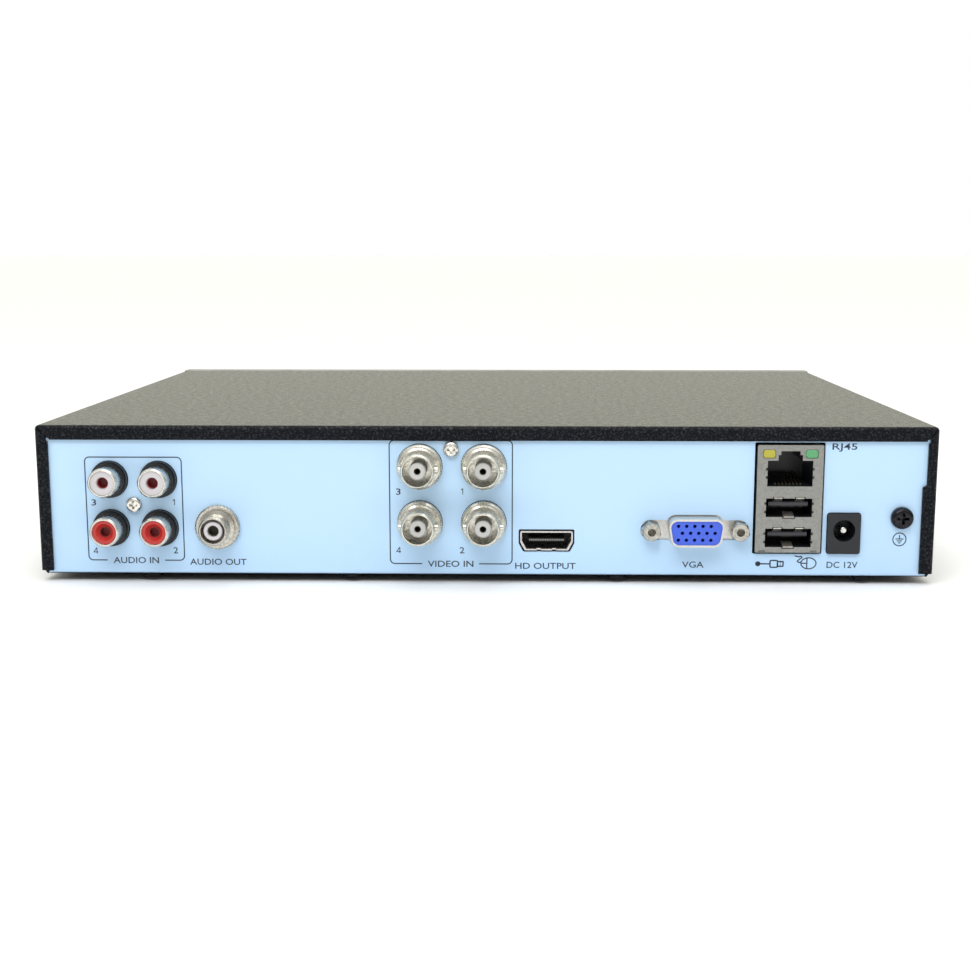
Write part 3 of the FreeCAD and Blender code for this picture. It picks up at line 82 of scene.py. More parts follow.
def colour_setting(name, description, default):
    return bpy.props.FloatVectorProperty(
        name=name, description=description, subtype="COLOR", size=3, min=0, max=1, default=default)


def length_setting(name, description, default):
    return bpy.props.FloatProperty(name=name, description=description, unit="LENGTH", default=default)


class HousingSettings(bpy.types.PropertyGroup):
    """Paint and plastic of the case."""

    coat_colour: colour_setting(
        "Powder coat", "Colour of the cover's powder coat", (0.0035, 0.0045, 0.0075))
    coat_pebble: length_setting("Coat pebble", "Size of the bumps in the powder coat", 0.55 * MM)
    panel_colour: colour_setting("Panel paint", "Colour of the socket panel", (0.51, 0.725, 0.955))
    ink_colour: colour_setting("Ink", "Colour of the printing on the socket panel", (0.02, 0.03, 0.05))


class PrintSettings(bpy.types.PropertyGroup):
    """Sizes of the printing on the socket panel."""

    capital_height: length_setting("Capital height", "Height of a printed capital letter", 1.75 * MM)
    line_width: length_setting("Line width", "Width of the printed frames' lines", 0.33 * MM)
    corner_radius: length_setting("Corner radius", "Radius of the printed frames' corners", 1.3 * MM)
    ink_thickness: length_setting("Ink thickness", "Height of the ink above the paint", 0.02 * MM)


class SocketSettings(bpy.types.PropertyGroup):
    """Colours and small sizes of the sockets."""

    red_core: colour_setting("Red cores", "Colour of the lower audio sockets' cores", (0.50, 0.03, 0.024))
    white_core: colour_setting(
        "White cores", "Colour of the upper audio sockets' cores", (0.60, 0.57, 0.59))
    display_core: colour_setting("Display core", "Colour of the display socket's core", (0.05, 0.12, 0.70))
    ridge_count: bpy.props.IntProperty(
        name="Nut ridges", description="Ridges round each coaxial socket's shoulder", default=54, min=8)
    ridge_height: length_setting(
        "Ridge height", "How far a ridge stands out of the shoulder", 0.09 * MM)
    leaf_thickness: length_setting(
        "Spring leaf", "Thickness of the data sockets' spring leaves", 0.25 * MM)


class BoardSettings(bpy.types.PropertyGroup):
    """Small parts on the main board."""

    mask_colour: colour_setting("Solder mask", "Colour of the main board", (0.008, 0.10, 0.045))
    leg_pitch: length_setting("Leg pitch", "Spacing of the chips' legs", 0.8 * MM)
    small_part_seed: bpy.props.IntProperty(
        name="Small part seed", description="Seed for which way the smallest parts lie", default=4)


class StageSettings(bpy.types.PropertyGroup):
    """Floor and lights."""

    floor_size: length_setting("Floor", "Width of the floor", 60.0)
    key_power: bpy.props.FloatProperty(
        name="Key light", description="Power of the large light above the socket panel", unit="POWER",
        default=2.8)
    sky_strength: bpy.props.FloatProperty(
        name="Sky", description="Strength of the even light from above", default=1.12)


SETTINGS = {
    "recorder_case": HousingSettings,
    "recorder_print": PrintSettings,
    "recorder_sockets": SocketSettings,
    "recorder_board": BoardSettings,
    "recorder_stage": StageSettings,
}


# ------------------------------------------------------------------ node trees

def socket_of(sockets, identifier):
    return next(s for s in sockets if s.identifier == identifier)


class Wiring:
    """Adds nodes to one node tree and joins them."""

    def __init__(self, tree):
        self.tree = tree

    def add(self, kind, values=None, **settings):
        """New node. values maps an input's name or number to a value or to another node's output."""
        node = self.tree.nodes.new(kind)
        for key, value in settings.items():
            setattr(node, key, value)
        for key, value in (values or {}).items():
            self.feed(node.inputs[key], value)
        return node

    def feed(self, target, value):
        if isinstance(value, bpy.types.NodeSocket):
            self.tree.links.new(value, target)
        elif target.type == "RGBA":
            target.default_value = (*tuple(value)[:3], 1.0)
        else:
            target.default_value = value

    def out(self, kind, values=None, **settings):
        """First output of a new node."""
        return self.add(kind, values, **settings).outputs[0]

    def given(self, name):
        """What the group is given."""
        return self.start.outputs[name]

    def give(self, **values):
        """Feed the group's outputs. Returns the finished group."""
        for name, value in values.items():
            self.feed(self.end.inputs[name], value)
        return self.tree

    def math(self, operation, *values):
        return self.out("ShaderNodeMath", dict(enumerate(values)), operation=operation)

    def times(self, a, b):
        return self.math("MULTIPLY", a, b)

    def scaled(self, vector, factor):
        return self.out("ShaderNodeVectorMath", {0: vector, "Scale": factor}, operation="SCALE")

    def upright(self, height):
        """Vector along Z."""
        return self.out("ShaderNodeCombineXYZ", {2: height})

    def mapped(self, vector, **settings):
        return self.out("ShaderNodeMapping", {"Vector": vector, **settings})

    def mix(self, factor, a, b):
        """Colour between a and b."""
        node = self.add("ShaderNodeMix", data_type="RGBA")
        for key, value in (("Factor_Float", factor), ("A_Color", a), ("B_Color", b)):
            self.feed(socket_of(node.inputs, key), value)
        return socket_of(node.outputs, "Result_Color")

    def span(self, value, low, high, to_low=0.0, to_high=1.0):
        """value from low..high spread to to_low..to_high, and kept inside."""
        return self.out("ShaderNodeMapRange", {0: value, 1: low, 2: high, 3: to_low, 4: to_high})

    def noise(self, vector, scale, detail=2.0, roughness=0.5):
        return self.out("ShaderNodeTexNoise",
                        {"Vector": vector, "Scale": scale, "Detail": detail, "Roughness": roughness})

    def voronoi(self, vector, scale, **settings):
        """Distance to the nearest of a scatter of points."""
        return self.out("ShaderNodeTexVoronoi", {"Vector": vector, "Scale": scale}, **settings)

    def place(self):
        """Place on the object, in metres."""
        return self.add("ShaderNodeTexCoord").outputs["Object"]


def node_group(name, kind, inputs, outputs):
    """Wiring of an empty group. inputs and outputs map a socket's name to its kind."""
    tree = bpy.data.node_groups.new(name, kind)
    for way, sockets in (("INPUT", inputs), ("OUTPUT", outputs)):
        for label, socket in sockets.items():
            tree.interface.new_socket(name=label, in_out=way, socket_type="NodeSocket" + socket)
    wiring = Wiring(tree)
    wiring.start = tree.nodes.new("NodeGroupInput")
    wiring.end = tree.nodes.new("NodeGroupOutput")
    return wiring


def effect_group(name, given, *outputs):
    """Wiring of a shader group of plain numbers, with one input."""
    return node_group(name, "ShaderNodeTree", {given: "Float"}, dict.fromkeys(outputs, "Float"))


def sized(w, place):
    """place counted in the group's Size."""
    return w.scaled(place, w.math("DIVIDE", 1.0, w.given("Size")))


def pebble_group():
    """Rounded lumps of a textured powder coat, with bright tips and broader mottling."""
    w = effect_group("Coat pebble", "Size", "Height", "Tips", "Cloud")
    place = sized(w, w.place())
    bumps = w.noise(place, 1.0, 3.0, 0.6)
    cells = w.voronoi(place, 0.8, feature="SMOOTH_F1")
    return w.give(
        Height=w.math("SUBTRACT", w.times(bumps, 1.4), w.times(cells, 0.5)),
        Tips=w.span(w.noise(place, 0.9, 2.0, 0.7), 0.50, 0.68),
        Cloud=w.span(w.noise(place, 0.28, 3.0, 0.75), 0.36, 0.64))


def grain_group():
    """Fine moulded or cast grain, and broad unevenness of the finish."""
    w = effect_group("Fine grain", "Size", "Height", "Cloud")
    place = sized(w, w.place())
    return w.give(
        Height=w.noise(place, 1.0, 2.0),
        Cloud=w.span(w.noise(place, 0.03, 4.0, 0.6), 0.3, 0.7))


def plating_group():
    """Faint handling scratches, machining lines and dull spots on plated metal."""
    w = effect_group("Plated metal", "Size", "Lines", "Dull")
    place = sized(w, w.place())
    return w.give(
        Lines=w.noise(w.mapped(place, Scale=(1.0, 6.0, 1.0)), 1.0, 3.0, 0.65),
        Dull=w.span(w.noise(place, 0.35, 4.0, 0.65), 0.42, 0.68))


def dust_and_sheen_group():
    """Lighter specks on surfaces that look up: a light settled dusting, and where the amount is large, as
    on the cover, painted sheen that lightens the top.
    """
    w = effect_group("Dust and sheen on top", "Amount", "Mask")
    normal = w.add("ShaderNodeNewGeometry").outputs["Normal"]
    up = w.add("ShaderNodeSeparateXYZ", {0: normal}).outputs["Z"]
    specks = w.span(w.noise(w.scaled(w.place(), 1 / (0.8 * MM)), 1.0, 3.0, 0.8), 0.30, 0.75)
    return w.give(Mask=w.times(w.times(w.span(up, 0.88, 1.0), specks), w.given("Amount")))


def track_group():
    """Copper tracks, pads and holes under a board's solder mask."""
    w = effect_group("Board tracks", "Size", "Tracks", "Pads")
    place = sized(w, w.mapped(w.place(), Scale=(1.0, 1.0, 0.0)))
    steps = w.voronoi(place, 1.0, feature="F1", distance="MANHATTAN")
    lines = w.math("LESS_THAN", w.math("FRACT", w.times(steps, 16.0)), 0.45)
    area = w.math("GREATER_THAN", w.noise(place, 0.8, 1.0), 0.44)
    return w.give(
        Tracks=w.times(lines, area),
        Pads=w.math("LESS_THAN", w.voronoi(place, 5.0, feature="F1"), 0.11))


GROUP_MAKERS = {
    "Coat pebble": pebble_group,
    "Fine grain": grain_group,
    "Plated metal": plating_group,
    "Dust and sheen on top": dust_and_sheen_group,
    "Board tracks": track_group,
}


class Finish(Wiring):
    """One material with a Principled shader."""

    def __init__(self, name, **constants):
        self.material = bpy.data.materials.new(name + "_finish")
        self.material.use_nodes = True
        super().__init__(self.material.node_tree)
        self.shader = self.tree.nodes["Principled BSDF"]
        for key, value in constants.items():
            self.set(key.replace("_", " ").title().replace("Ior", "IOR"), value)

    def set(self, socket, value):
        self.feed(self.shader.inputs[socket], value)

    def effect(self, name, **values):
        """Place a shared effect group with this material's own values."""
        tree = bpy.data.node_groups.get(name) or GROUP_MAKERS[name]()
        node = self.add("ShaderNodeGroup", node_tree=tree)
        for key, value in values.items():
            self.feed(node.inputs[key.title()], value)
        return node.outputs

    def uneven(self, cloud, colour, other, low, high):
        """Colour and roughness that both go from one value to another with a cloud."""
        self.set("Base Color", self.mix(cloud, colour, other))
        self.set("Roughness", self.span(cloud, 0, 1, low, high))

    def bump(self, height, depth):
        self.set("Normal", self.out("ShaderNodeBump", {"Height": height, "Distance": depth}))


def shade(colour, factor):
    return tuple(min(1.0, c * factor) for c in tuple(colour)[:3])


def powder_coat(name, colour, pebble):
    """Textured black coat: dark valleys, slightly worn bright tips, and on top a lighter olive tone that is
    partly a settled dusting and partly painted sheen.
    """
    f = Finish(name)
    coat = f.effect("Coat pebble", size=pebble)
    # Painted sheen with a little settled dusting: surfaces that look up are lightened toward olive grey.
    dust_and_sheen = f.effect("Dust and sheen on top", amount=0.8)
    base = f.mix(f.times(coat["Tips"], 0.25), colour, (0.05, 0.05, 0.055))
    f.set("Base Color", f.mix(dust_and_sheen["Mask"], base, (0.055, 0.056, 0.036)))
    f.set("Specular IOR Level", f.span(coat["Tips"], 0.0, 1.0, 0.09, 0.38))
    f.set("Roughness", f.span(coat["Cloud"], 0.0, 1.0, 0.33, 0.45))
    f.bump(coat["Height"], pebble * 0.17)
    return f.material


def panel_paint(name, colour):
    """Smooth paint with a faint orange peel."""
    f = Finish(name, specular_ior_level=0.3, coat_weight=0.12, coat_roughness=0.25)
    grain = f.effect("Fine grain", size=1.1 * MM)
    f.uneven(grain["Cloud"], shade(colour, 0.975), shade(colour, 1.01), 0.42, 0.52)
    f.bump(grain["Height"], 0.012 * MM)
    return f.material


def moulded(name, colour, roughness, grain=0.25, depth=0.006, dust_and_sheen=0.05):
    """Moulded plastic or rubber. grain and depth are in millimetres."""
    f = Finish(name)
    skin = f.effect("Fine grain", size=grain * MM)
    # Lighter specks on surfaces that look up, from the shared dusting and painted sheen group.
    dust_and_sheen_outputs = f.effect("Dust and sheen on top", amount=dust_and_sheen)
    base = f.mix(skin["Cloud"], shade(colour, 0.92), shade(colour, 1.06))
    f.set("Base Color", f.mix(dust_and_sheen_outputs["Mask"], base, (0.42, 0.41, 0.38)))
    f.set("Roughness", f.span(skin["Cloud"], 0, 1, roughness - 0.05, roughness + 0.05))
    f.bump(skin["Height"], depth * MM)
    return f.material


def plated(name, colour, roughness, size=0.4, depth=0.004, dull=0.72):
    """Plated or bare metal with dull spots and fine lines. size and depth are in millimetres."""
    f = Finish(name, metallic=1.0)
    skin = f.effect("Plated metal", size=size * MM)
    f.uneven(skin["Dull"], colour, shade(colour, dull), roughness, roughness + 0.16)
    f.bump(skin["Lines"], depth * MM)
    return f.material


def board_mask(name, colour):
    """Solder mask over copper tracks, with bare gold pads."""
    f = Finish(name, coat_weight=0.35, coat_roughness=0.12)
    copper = f.effect("Board tracks", size=13 * MM)
    grain = f.effect("Fine grain", size=0.4 * MM)
    mask = f.mix(copper["Tracks"], colour, shade((colour[0] + 0.01, colour[1], colour[2]), 1.9))
    f.set("Base Color", f.mix(copper["Pads"], mask, (0.75, 0.60, 0.28)))
    f.set("Metallic", f.times(copper["Pads"], 0.9))
    f.set("Roughness", f.span(grain["Cloud"], 0, 1, 0.32, 0.42))
    f.bump(copper["Tracks"], 0.02 * MM)
    return f.material


def clear_plastic(name, colour, roughness):
    f = Finish(name, base_color=colour, transmission_weight=1.0, ior=1.49)
    grain = f.effect("Fine grain", size=2.0 * MM)
    f.set("Roughness", f.span(grain["Cloud"], 0, 1, roughness, roughness + 0.05))
    return f.material


def disc_mirror(name, colour):
    """Mirror coat with faint rings round the spindle."""
    middle = middle_of(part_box("drive_platters"))
    f = Finish(name, metallic=1.0)
    centred = f.mapped(f.place(), Location=-middle, Scale=(1.0, 1.0, 0.0))
    radius = f.add("ShaderNodeVectorMath", {0: centred}, operation="LENGTH").outputs["Value"]
    rings = f.noise(f.out("ShaderNodeCombineXYZ", {0: radius}), 1 / (0.9 * MM), 1.0)
    f.set("Base Color", f.mix(rings, shade(colour, 0.9), colour))
    f.set("Roughness", f.span(rings, 0.3, 0.7, 0.03, 0.09))
    return f.material


def printed(name, colour):
    f = Finish(name)
    grain = f.effect("Fine grain", size=0.2 * MM)
    f.uneven(grain["Cloud"], colour, shade(colour, 1.35), 0.45, 0.6)
    return f.material


# Moulded finishes: colour and roughness, then grain, depth and the amount of dusting and painted sheen on
# top where they are not the usual ones.
MOULDED = {
    "bezel_black": ((0.014, 0.014, 0.016), 0.36, 0.35, 0.012),
    "lamp_white": ((0.85, 0.84, 0.74), 0.25),
    "receiver_dark": ((0.02, 0.012, 0.016), 0.12, 0.5, 0.001),
    "foot_rubber": ((0.012, 0.012, 0.012), 0.72, 0.2, 0.02),
    "chip_black": ((0.018, 0.018, 0.019), 0.55, 0.12, 0.01),
    "ferrite_grey": ((0.06, 0.058, 0.056), 0.6, 0.15, 0.02),
    "holder_black": ((0.016, 0.016, 0.017), 0.45),
    "header_cream": ((0.70, 0.66, 0.52), 0.42),
    "plug_black": ((0.02, 0.02, 0.021), 0.5),
    "lead_jacket": ((0.45, 0.02, 0.02), 0.4, 0.3, 0.01),
    "socket_black": ((0.006, 0.008, 0.012), 0.36, 0.3, 0.006, 0.02),
    "insulator_grey": ((0.50, 0.50, 0.48), 0.38, 0.5, 0.004, 0.0),
    "lamp_yellow": ((0.42, 0.38, 0.035), 0.10, 0.8, 0.03, 0.0),
    "lamp_green": ((0.09, 0.34, 0.14), 0.10, 0.8, 0.03, 0.0),
    "tongue_black": ((0.035, 0.035, 0.042), 0.32),
    "tongue_deep": ((0.004, 0.004, 0.005), 0.45),
    "drive_label_film": ((0.62, 0.63, 0.64), 0.38),
}

# Plated finishes: colour and roughness, then size, depth and dull where they are not the usual ones.
PLATED = {
    "screw_black": ((0.035, 0.035, 0.04), 0.22, 0.4, 0.004, 0.5),
    "rivet_black": ((0.02, 0.02, 0.021), 0.4),
    "brass_plain": ((0.72, 0.52, 0.22), 0.28),
    "screw_zinc": ((0.80, 0.78, 0.73), 0.20),
    "sink_aluminium": ((0.30, 0.31, 0.33), 0.42),
    "can_aluminium": ((0.78, 0.79, 0.80), 0.24, 0.6),
    "arm_aluminium": ((0.74, 0.74, 0.73), 0.25),
    "cell_steel": ((0.76, 0.75, 0.72), 0.22, 0.5),
    "barrel_nickel": ((0.72, 0.71, 0.66), 0.16, 0.3, 0.005, 0.78),
    "nickel_brown": ((0.60, 0.57, 0.50), 0.24, 0.2, 0.012, 0.62),
    "nickel_olive": ((0.72, 0.70, 0.62), 0.22, 0.25, 0.010, 0.76),
    "nickel_grey": ((0.50, 0.48, 0.43), 0.22, 0.3, 0.01, 0.7),
    "contact_gold": ((0.83, 0.62, 0.26), 0.2),
    # Near-black copy of the gold: painted shade on the contacts deep in the coaxial sockets' centre holes.
    "contact_tarnished": ((0.03, 0.022, 0.012), 0.5),
    "contact_shaded": ((0.16, 0.13, 0.08), 0.35),
    "shell_tin": ((0.315, 0.315, 0.298), 0.30, 0.22, 0.014, 0.84),
    "shell_bright": ((0.62, 0.60, 0.58), 0.24, 0.22, 0.006, 0.85),
    "shell_pale": ((0.74, 0.72, 0.68), 0.36, 0.22, 0.008, 0.88),
    "leaf_shaded": ((0.62, 0.59, 0.52), 0.34),
    "drive_cast": ((0.46, 0.46, 0.47), 0.46, 0.5, 0.05, 0.8),
    "drive_lid_steel": ((0.70, 0.71, 0.72), 0.26, 0.9, 0.003, 0.85),
}

PRINTED = {
    "white_ink": (0.55, 0.56, 0.58),
    # Dark colours of painted shade deep in the audio sockets' centre holes.
    "cavity_red": (0.20, 0.012, 0.012),
    "cavity_olive": (0.05, 0.048, 0.03),
}

WIRES = {
    "wire_red": (0.50, 0.015, 0.012),
    "wire_black": (0.015, 0.015, 0.016),
    "wire_yellow": (0.70, 0.50, 0.03),
    "wire_white": (0.72, 0.72, 0.70),
    "wire_green": (0.03, 0.30, 0.08),
}

# Nodes whose finish is not that of the rest of their slot.
VARIANTS = {
    "audio_out_barrel": "nickel_brown",
    "video_in_barrels": "nickel_olive",
    # painted shade deep in the coaxial sockets' centre holes
    "video_in_contacts": "contact_tarnished",
    "lan_contacts": "contact_shaded",
    "hd_socket_shell": "shell_bright",
    "hd_socket_tongue": "tongue_deep",
    "vga_flange": "shell_pale",
    "vga_jackscrews": "nickel_grey",
}


def finish(name):
    """Material that the first step made under that name."""
    return bpy.data.materials[name + "_finish"]


# ------------------------------------------------------------------ mesh tools

def loose_parts(node):
    """(lowest, highest) corners of a CAD node's separate solids, from low to high and left to right."""
    bm = bmesh.new()
    bm.from_mesh(NODES[node].data)
    bmesh.ops.remove_doubles(bm, verts=bm.verts, dist=0.5e-6)
    waiting = set(bm.verts)
    boxes = []
    while waiting:
        front = [waiting.pop()]
        reached = list(front)
        while front:
            for edge in front.pop().link_edges:
                for vertex in edge.verts:
                    if vertex in waiting:
                        waiting.remove(vertex)
                        front.append(vertex)
                        reached.append(vertex)
        low = Vector(min(v.co[i] for v in reached) for i in range(3))
        high = Vector(max(v.co[i] for v in reached) for i in range(3))
        boxes.append((low, high))
    bm.free()
    return sorted(boxes, key=lambda b: (round(b[0].z, 5), -round(b[0].x, 5), round(b[0].y, 5)))


def new_object(name, data):
    """Object in the scene."""
    made = bpy.data.objects.new(name, data)
    bpy.context.scene.collection.objects.link(made)
    return made


def add_piece(name, mesh, material, body="case"):
    """Show a finished mesh, whose place is in its vertices, as a piece that rides on a body."""
    piece = new_object(name, mesh)
    mesh.materials.clear()
    mesh.materials.append(material)
    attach(piece, body)
    return piece


def band(bm, a, b):
    """Faces between two rings of vertices."""
    for i in range(len(a)):
        j = (i + 1) % len(a)
        bm.faces.new((a[i], a[j], b[j], b[i]))


def mesh_from(bm, name, smooth=False):
    bmesh.ops.recalc_face_normals(bm, faces=bm.faces)
    mesh = bpy.data.meshes.new(name)
    bm.to_mesh(mesh)
    bm.free()
    if smooth:
        mesh.shade_smooth()
    return mesh


def add_ring_solid(bm, profile, centre, sides):
    """Closed solid turned round the Y direction. profile is (radius, distance along Y from centre)."""
    along = Vector((0, 1, 0))
    across = along.orthogonal().normalized()
    other = along.cross(across)
    rings = []
    for i in range(sides):
        angle = 2 * math.pi * i / sides
        out = across * math.cos(angle) + other * math.sin(angle)
        rings.append([bm.verts.new(centre + out * r + along * d) for r, d in profile])
    for a, b in zip(rings, rings[1:] + rings[:1]):
        band(bm, a, b)


def evaluated_mesh(source, name):
    """Plain mesh of an object with its modifiers or its curve worked out; the object is removed."""
    bpy.context.view_layer.update()
    view = bpy.context.evaluated_depsgraph_get()
    mesh = bpy.data.meshes.new_from_object(source.evaluated_get(view), depsgraph=view)
    mesh.name = name
    data = source.data
    bpy.data.objects.remove(source)
    if isinstance(data, bpy.types.Curve):
        bpy.data.curves.remove(data)
    return mesh


def growth_tree(name, **inputs):
    """Wiring of an empty geometry group: Geometry, the named inputs and Material in, Geometry out."""
    return node_group(name, "GeometryNodeTree",
                      {"Geometry": "Geometry", **inputs, "Material": "Material"}, {"Geometry": "Geometry"})


def copies(w, points, shape, **rotation):
    """A copy of a shape on every point."""
    return w.out("GeometryNodeInstanceOnPoints", {"Points": points, "Instance": shape, **rotation})


def block_of_size(w):
    return w.out("GeometryNodeMeshCube", {"Size": w.given("Size")})


def facing(w, direction):
    """Turn about Z that lays X along a direction."""
    return w.out("FunctionNodeAlignRotationToVector", {"Vector": direction}, axis="X", pivot_axis="Z")


def moved(w, shape, offset):
    return w.out("GeometryNodeSetPosition", {"Geometry": shape, "Offset": offset})


def realized(w, instances):
    return w.out("GeometryNodeRealizeInstances", {0: instances})


def close_tree(w, instances):
    """End of every growth tree: real geometry with its material."""
    values = {"Geometry": realized(w, instances), "Material": w.given("Material")}
    return w.give(Geometry=w.out("GeometryNodeSetMaterial", values))


def block_tree():
    """A block on every point, turned by quarter turns picked by a seed."""
    w = growth_tree("Blocks on points", Size="Vector", Lift="Float", Turns="Int", Seed="Int")
    raised = moved(w, block_of_size(w), w.upright(w.given("Lift")))
    pick = w.add("FunctionNodeRandomValue", {"Seed": w.given("Seed")}, data_type="INT")
    w.feed(socket_of(pick.inputs, "Min_002"), 0)
    w.feed(socket_of(pick.inputs, "Max_002"), w.given("Turns"))
    turn = w.upright(w.times(socket_of(pick.outputs, "Value_002"), math.pi / 2))
    return close_tree(w, copies(w, w.given("Geometry"), raised, Rotation=turn))


def strip_tree():
    """Small blocks at an even pitch along every line of the base, turned to follow it."""
    w = growth_tree("Blocks along lines", Pitch="Float", Size="Vector")
    lines = w.out("GeometryNodeMeshToCurve", {"Mesh": w.given("Geometry")})
    stations = w.add("GeometryNodeCurveToPoints", {"Curve": lines, "Length": w.given("Pitch")},
                     mode="LENGTH").outputs
    turn = facing(w, stations["Tangent"])
    return close_tree(w, copies(w, stations["Points"], block_of_size(w), Rotation=turn))


def ridge_tree():
    """A ring of small ridges round the Y direction on every point."""
    w = growth_tree("Ring of ridges", Radius="Float", Count="Int", Size="Vector")
    ring = w.out("GeometryNodeMeshCircle", {"Vertices": w.given("Count"), "Radius": w.given("Radius")})
    turn = facing(w, w.out("GeometryNodeInputPosition"))
    ridges = realized(w, copies(w, ring, block_of_size(w), Rotation=turn))
    upright = w.out("GeometryNodeTransform", {"Geometry": ridges, "Rotation": (math.pi / 2, 0, 0)})
    return close_tree(w, copies(w, w.given("Geometry"), upright))


def lid_screw_tree():
    """A low screw head with a six-lobed recess on every point."""
    w = growth_tree("Lobed screw heads", Radius="Float", Height="Float")

    def drum(sides, share):
        """Cylinder with a share of the head's radius."""
        return w.out("GeometryNodeMeshCylinder", {
            "Vertices": sides, "Radius": w.times(w.given("Radius"), share), "Depth": w.given("Height")})

    star = w.out("GeometryNodeCurvePrimitiveCircle",
                 {"Resolution": 6, "Radius": w.times(w.given("Radius"), 0.5)}, mode="RADIUS")
    lobes = realized(w, copies(w, star, drum(12, 0.15)))
    rise = w.upright(w.times(w.given("Height"), 0.4))
    carved = drum(32, 1.0)
    for cutter in (lobes, drum(24, 0.47)):
        carved = w.out("GeometryNodeMeshBoolean", {0: carved, 1: moved(w, cutter, rise)},
                       operation="DIFFERENCE")
    return close_tree(w, copies(w, w.given("Geometry"), carved))


TREE_MAKERS = {
    "Blocks on points": block_tree,
    "Blocks along lines": strip_tree,
    "Ring of ridges": ridge_tree,
    "Lobed screw heads": lid_screw_tree,
}


def grown_piece(name, tree_name, points, values, slot, lines=(), material=None):
    """Piece that a geometry node tree makes on points or lines. values maps its inputs' names to values."""
    material = material or finish(slot)
    values = dict(values, Material=material)
    base = bpy.data.meshes.new(name + "_points")
    base.from_pydata([tuple(p) for p in points], lines, [])
    source = new_object(name + "_base", base)
    modifier = source.modifiers.new(name, "NODES")
    modifier.node_group = bpy.data.node_groups.get(tree_name) or TREE_MAKERS[tree_name]()
    for item in modifier.node_group.interface.items_tree:
        if item.item_type == "SOCKET" and item.in_out == "INPUT" and item.name in values:
            modifier[item.identifier] = values[item.name]
    return add_piece(name, evaluated_mesh(source, name), material)


def strips(name, pairs, pitch, size, slot, material=None):
    """Piece of small blocks along lines, each given by its two ends."""
    points = [end for pair in pairs for end in pair]
    lines = [(i, i + 1) for i in range(0, len(points), 2)]
    values = {"Pitch": pitch, "Size": size}
    return grown_piece(name, "Blocks along lines", points, values, slot, lines, material)


# ------------------------------------------------------------------ flat work

LETTER_WEIGHT = 0.010         # outward growth of a letter's outline, where its size is 1


def near(place, across, up):
    """Place on a face, moved by millimetres."""
    return place[0] + across * MM, place[1] + up * MM


def arc(centre, radius, start, stop, steps, rise=None):
    """Points on an arc, angles in degrees. An oval's rise is its radius upward."""
    angles = [math.radians(a) for a in even_steps(start, stop, steps)]
    rise = rise or radius
    return [(centre[0] + radius * math.cos(a), centre[1] + rise * math.sin(a)) for a in angles]


def circle(centre, radius, steps, rise=None, start=0):
    return arc(centre, radius, start, start + 360, steps, rise)[:-1]


def rounded(low, high, radius):
    """Outline of a rounded oblong, from its lower right corner round to its lower left one."""
    (left, bottom), (right, top) = (low[0] + radius, low[1] + radius), (high[0] - radius, high[1] - radius)
    corners = ((right, bottom, -90), (right, top, 0), (left, top, 90), (left, bottom, 180))
    return [point for x, y, start in corners for point in arc((x, y), radius, start, start + 90, 6)]


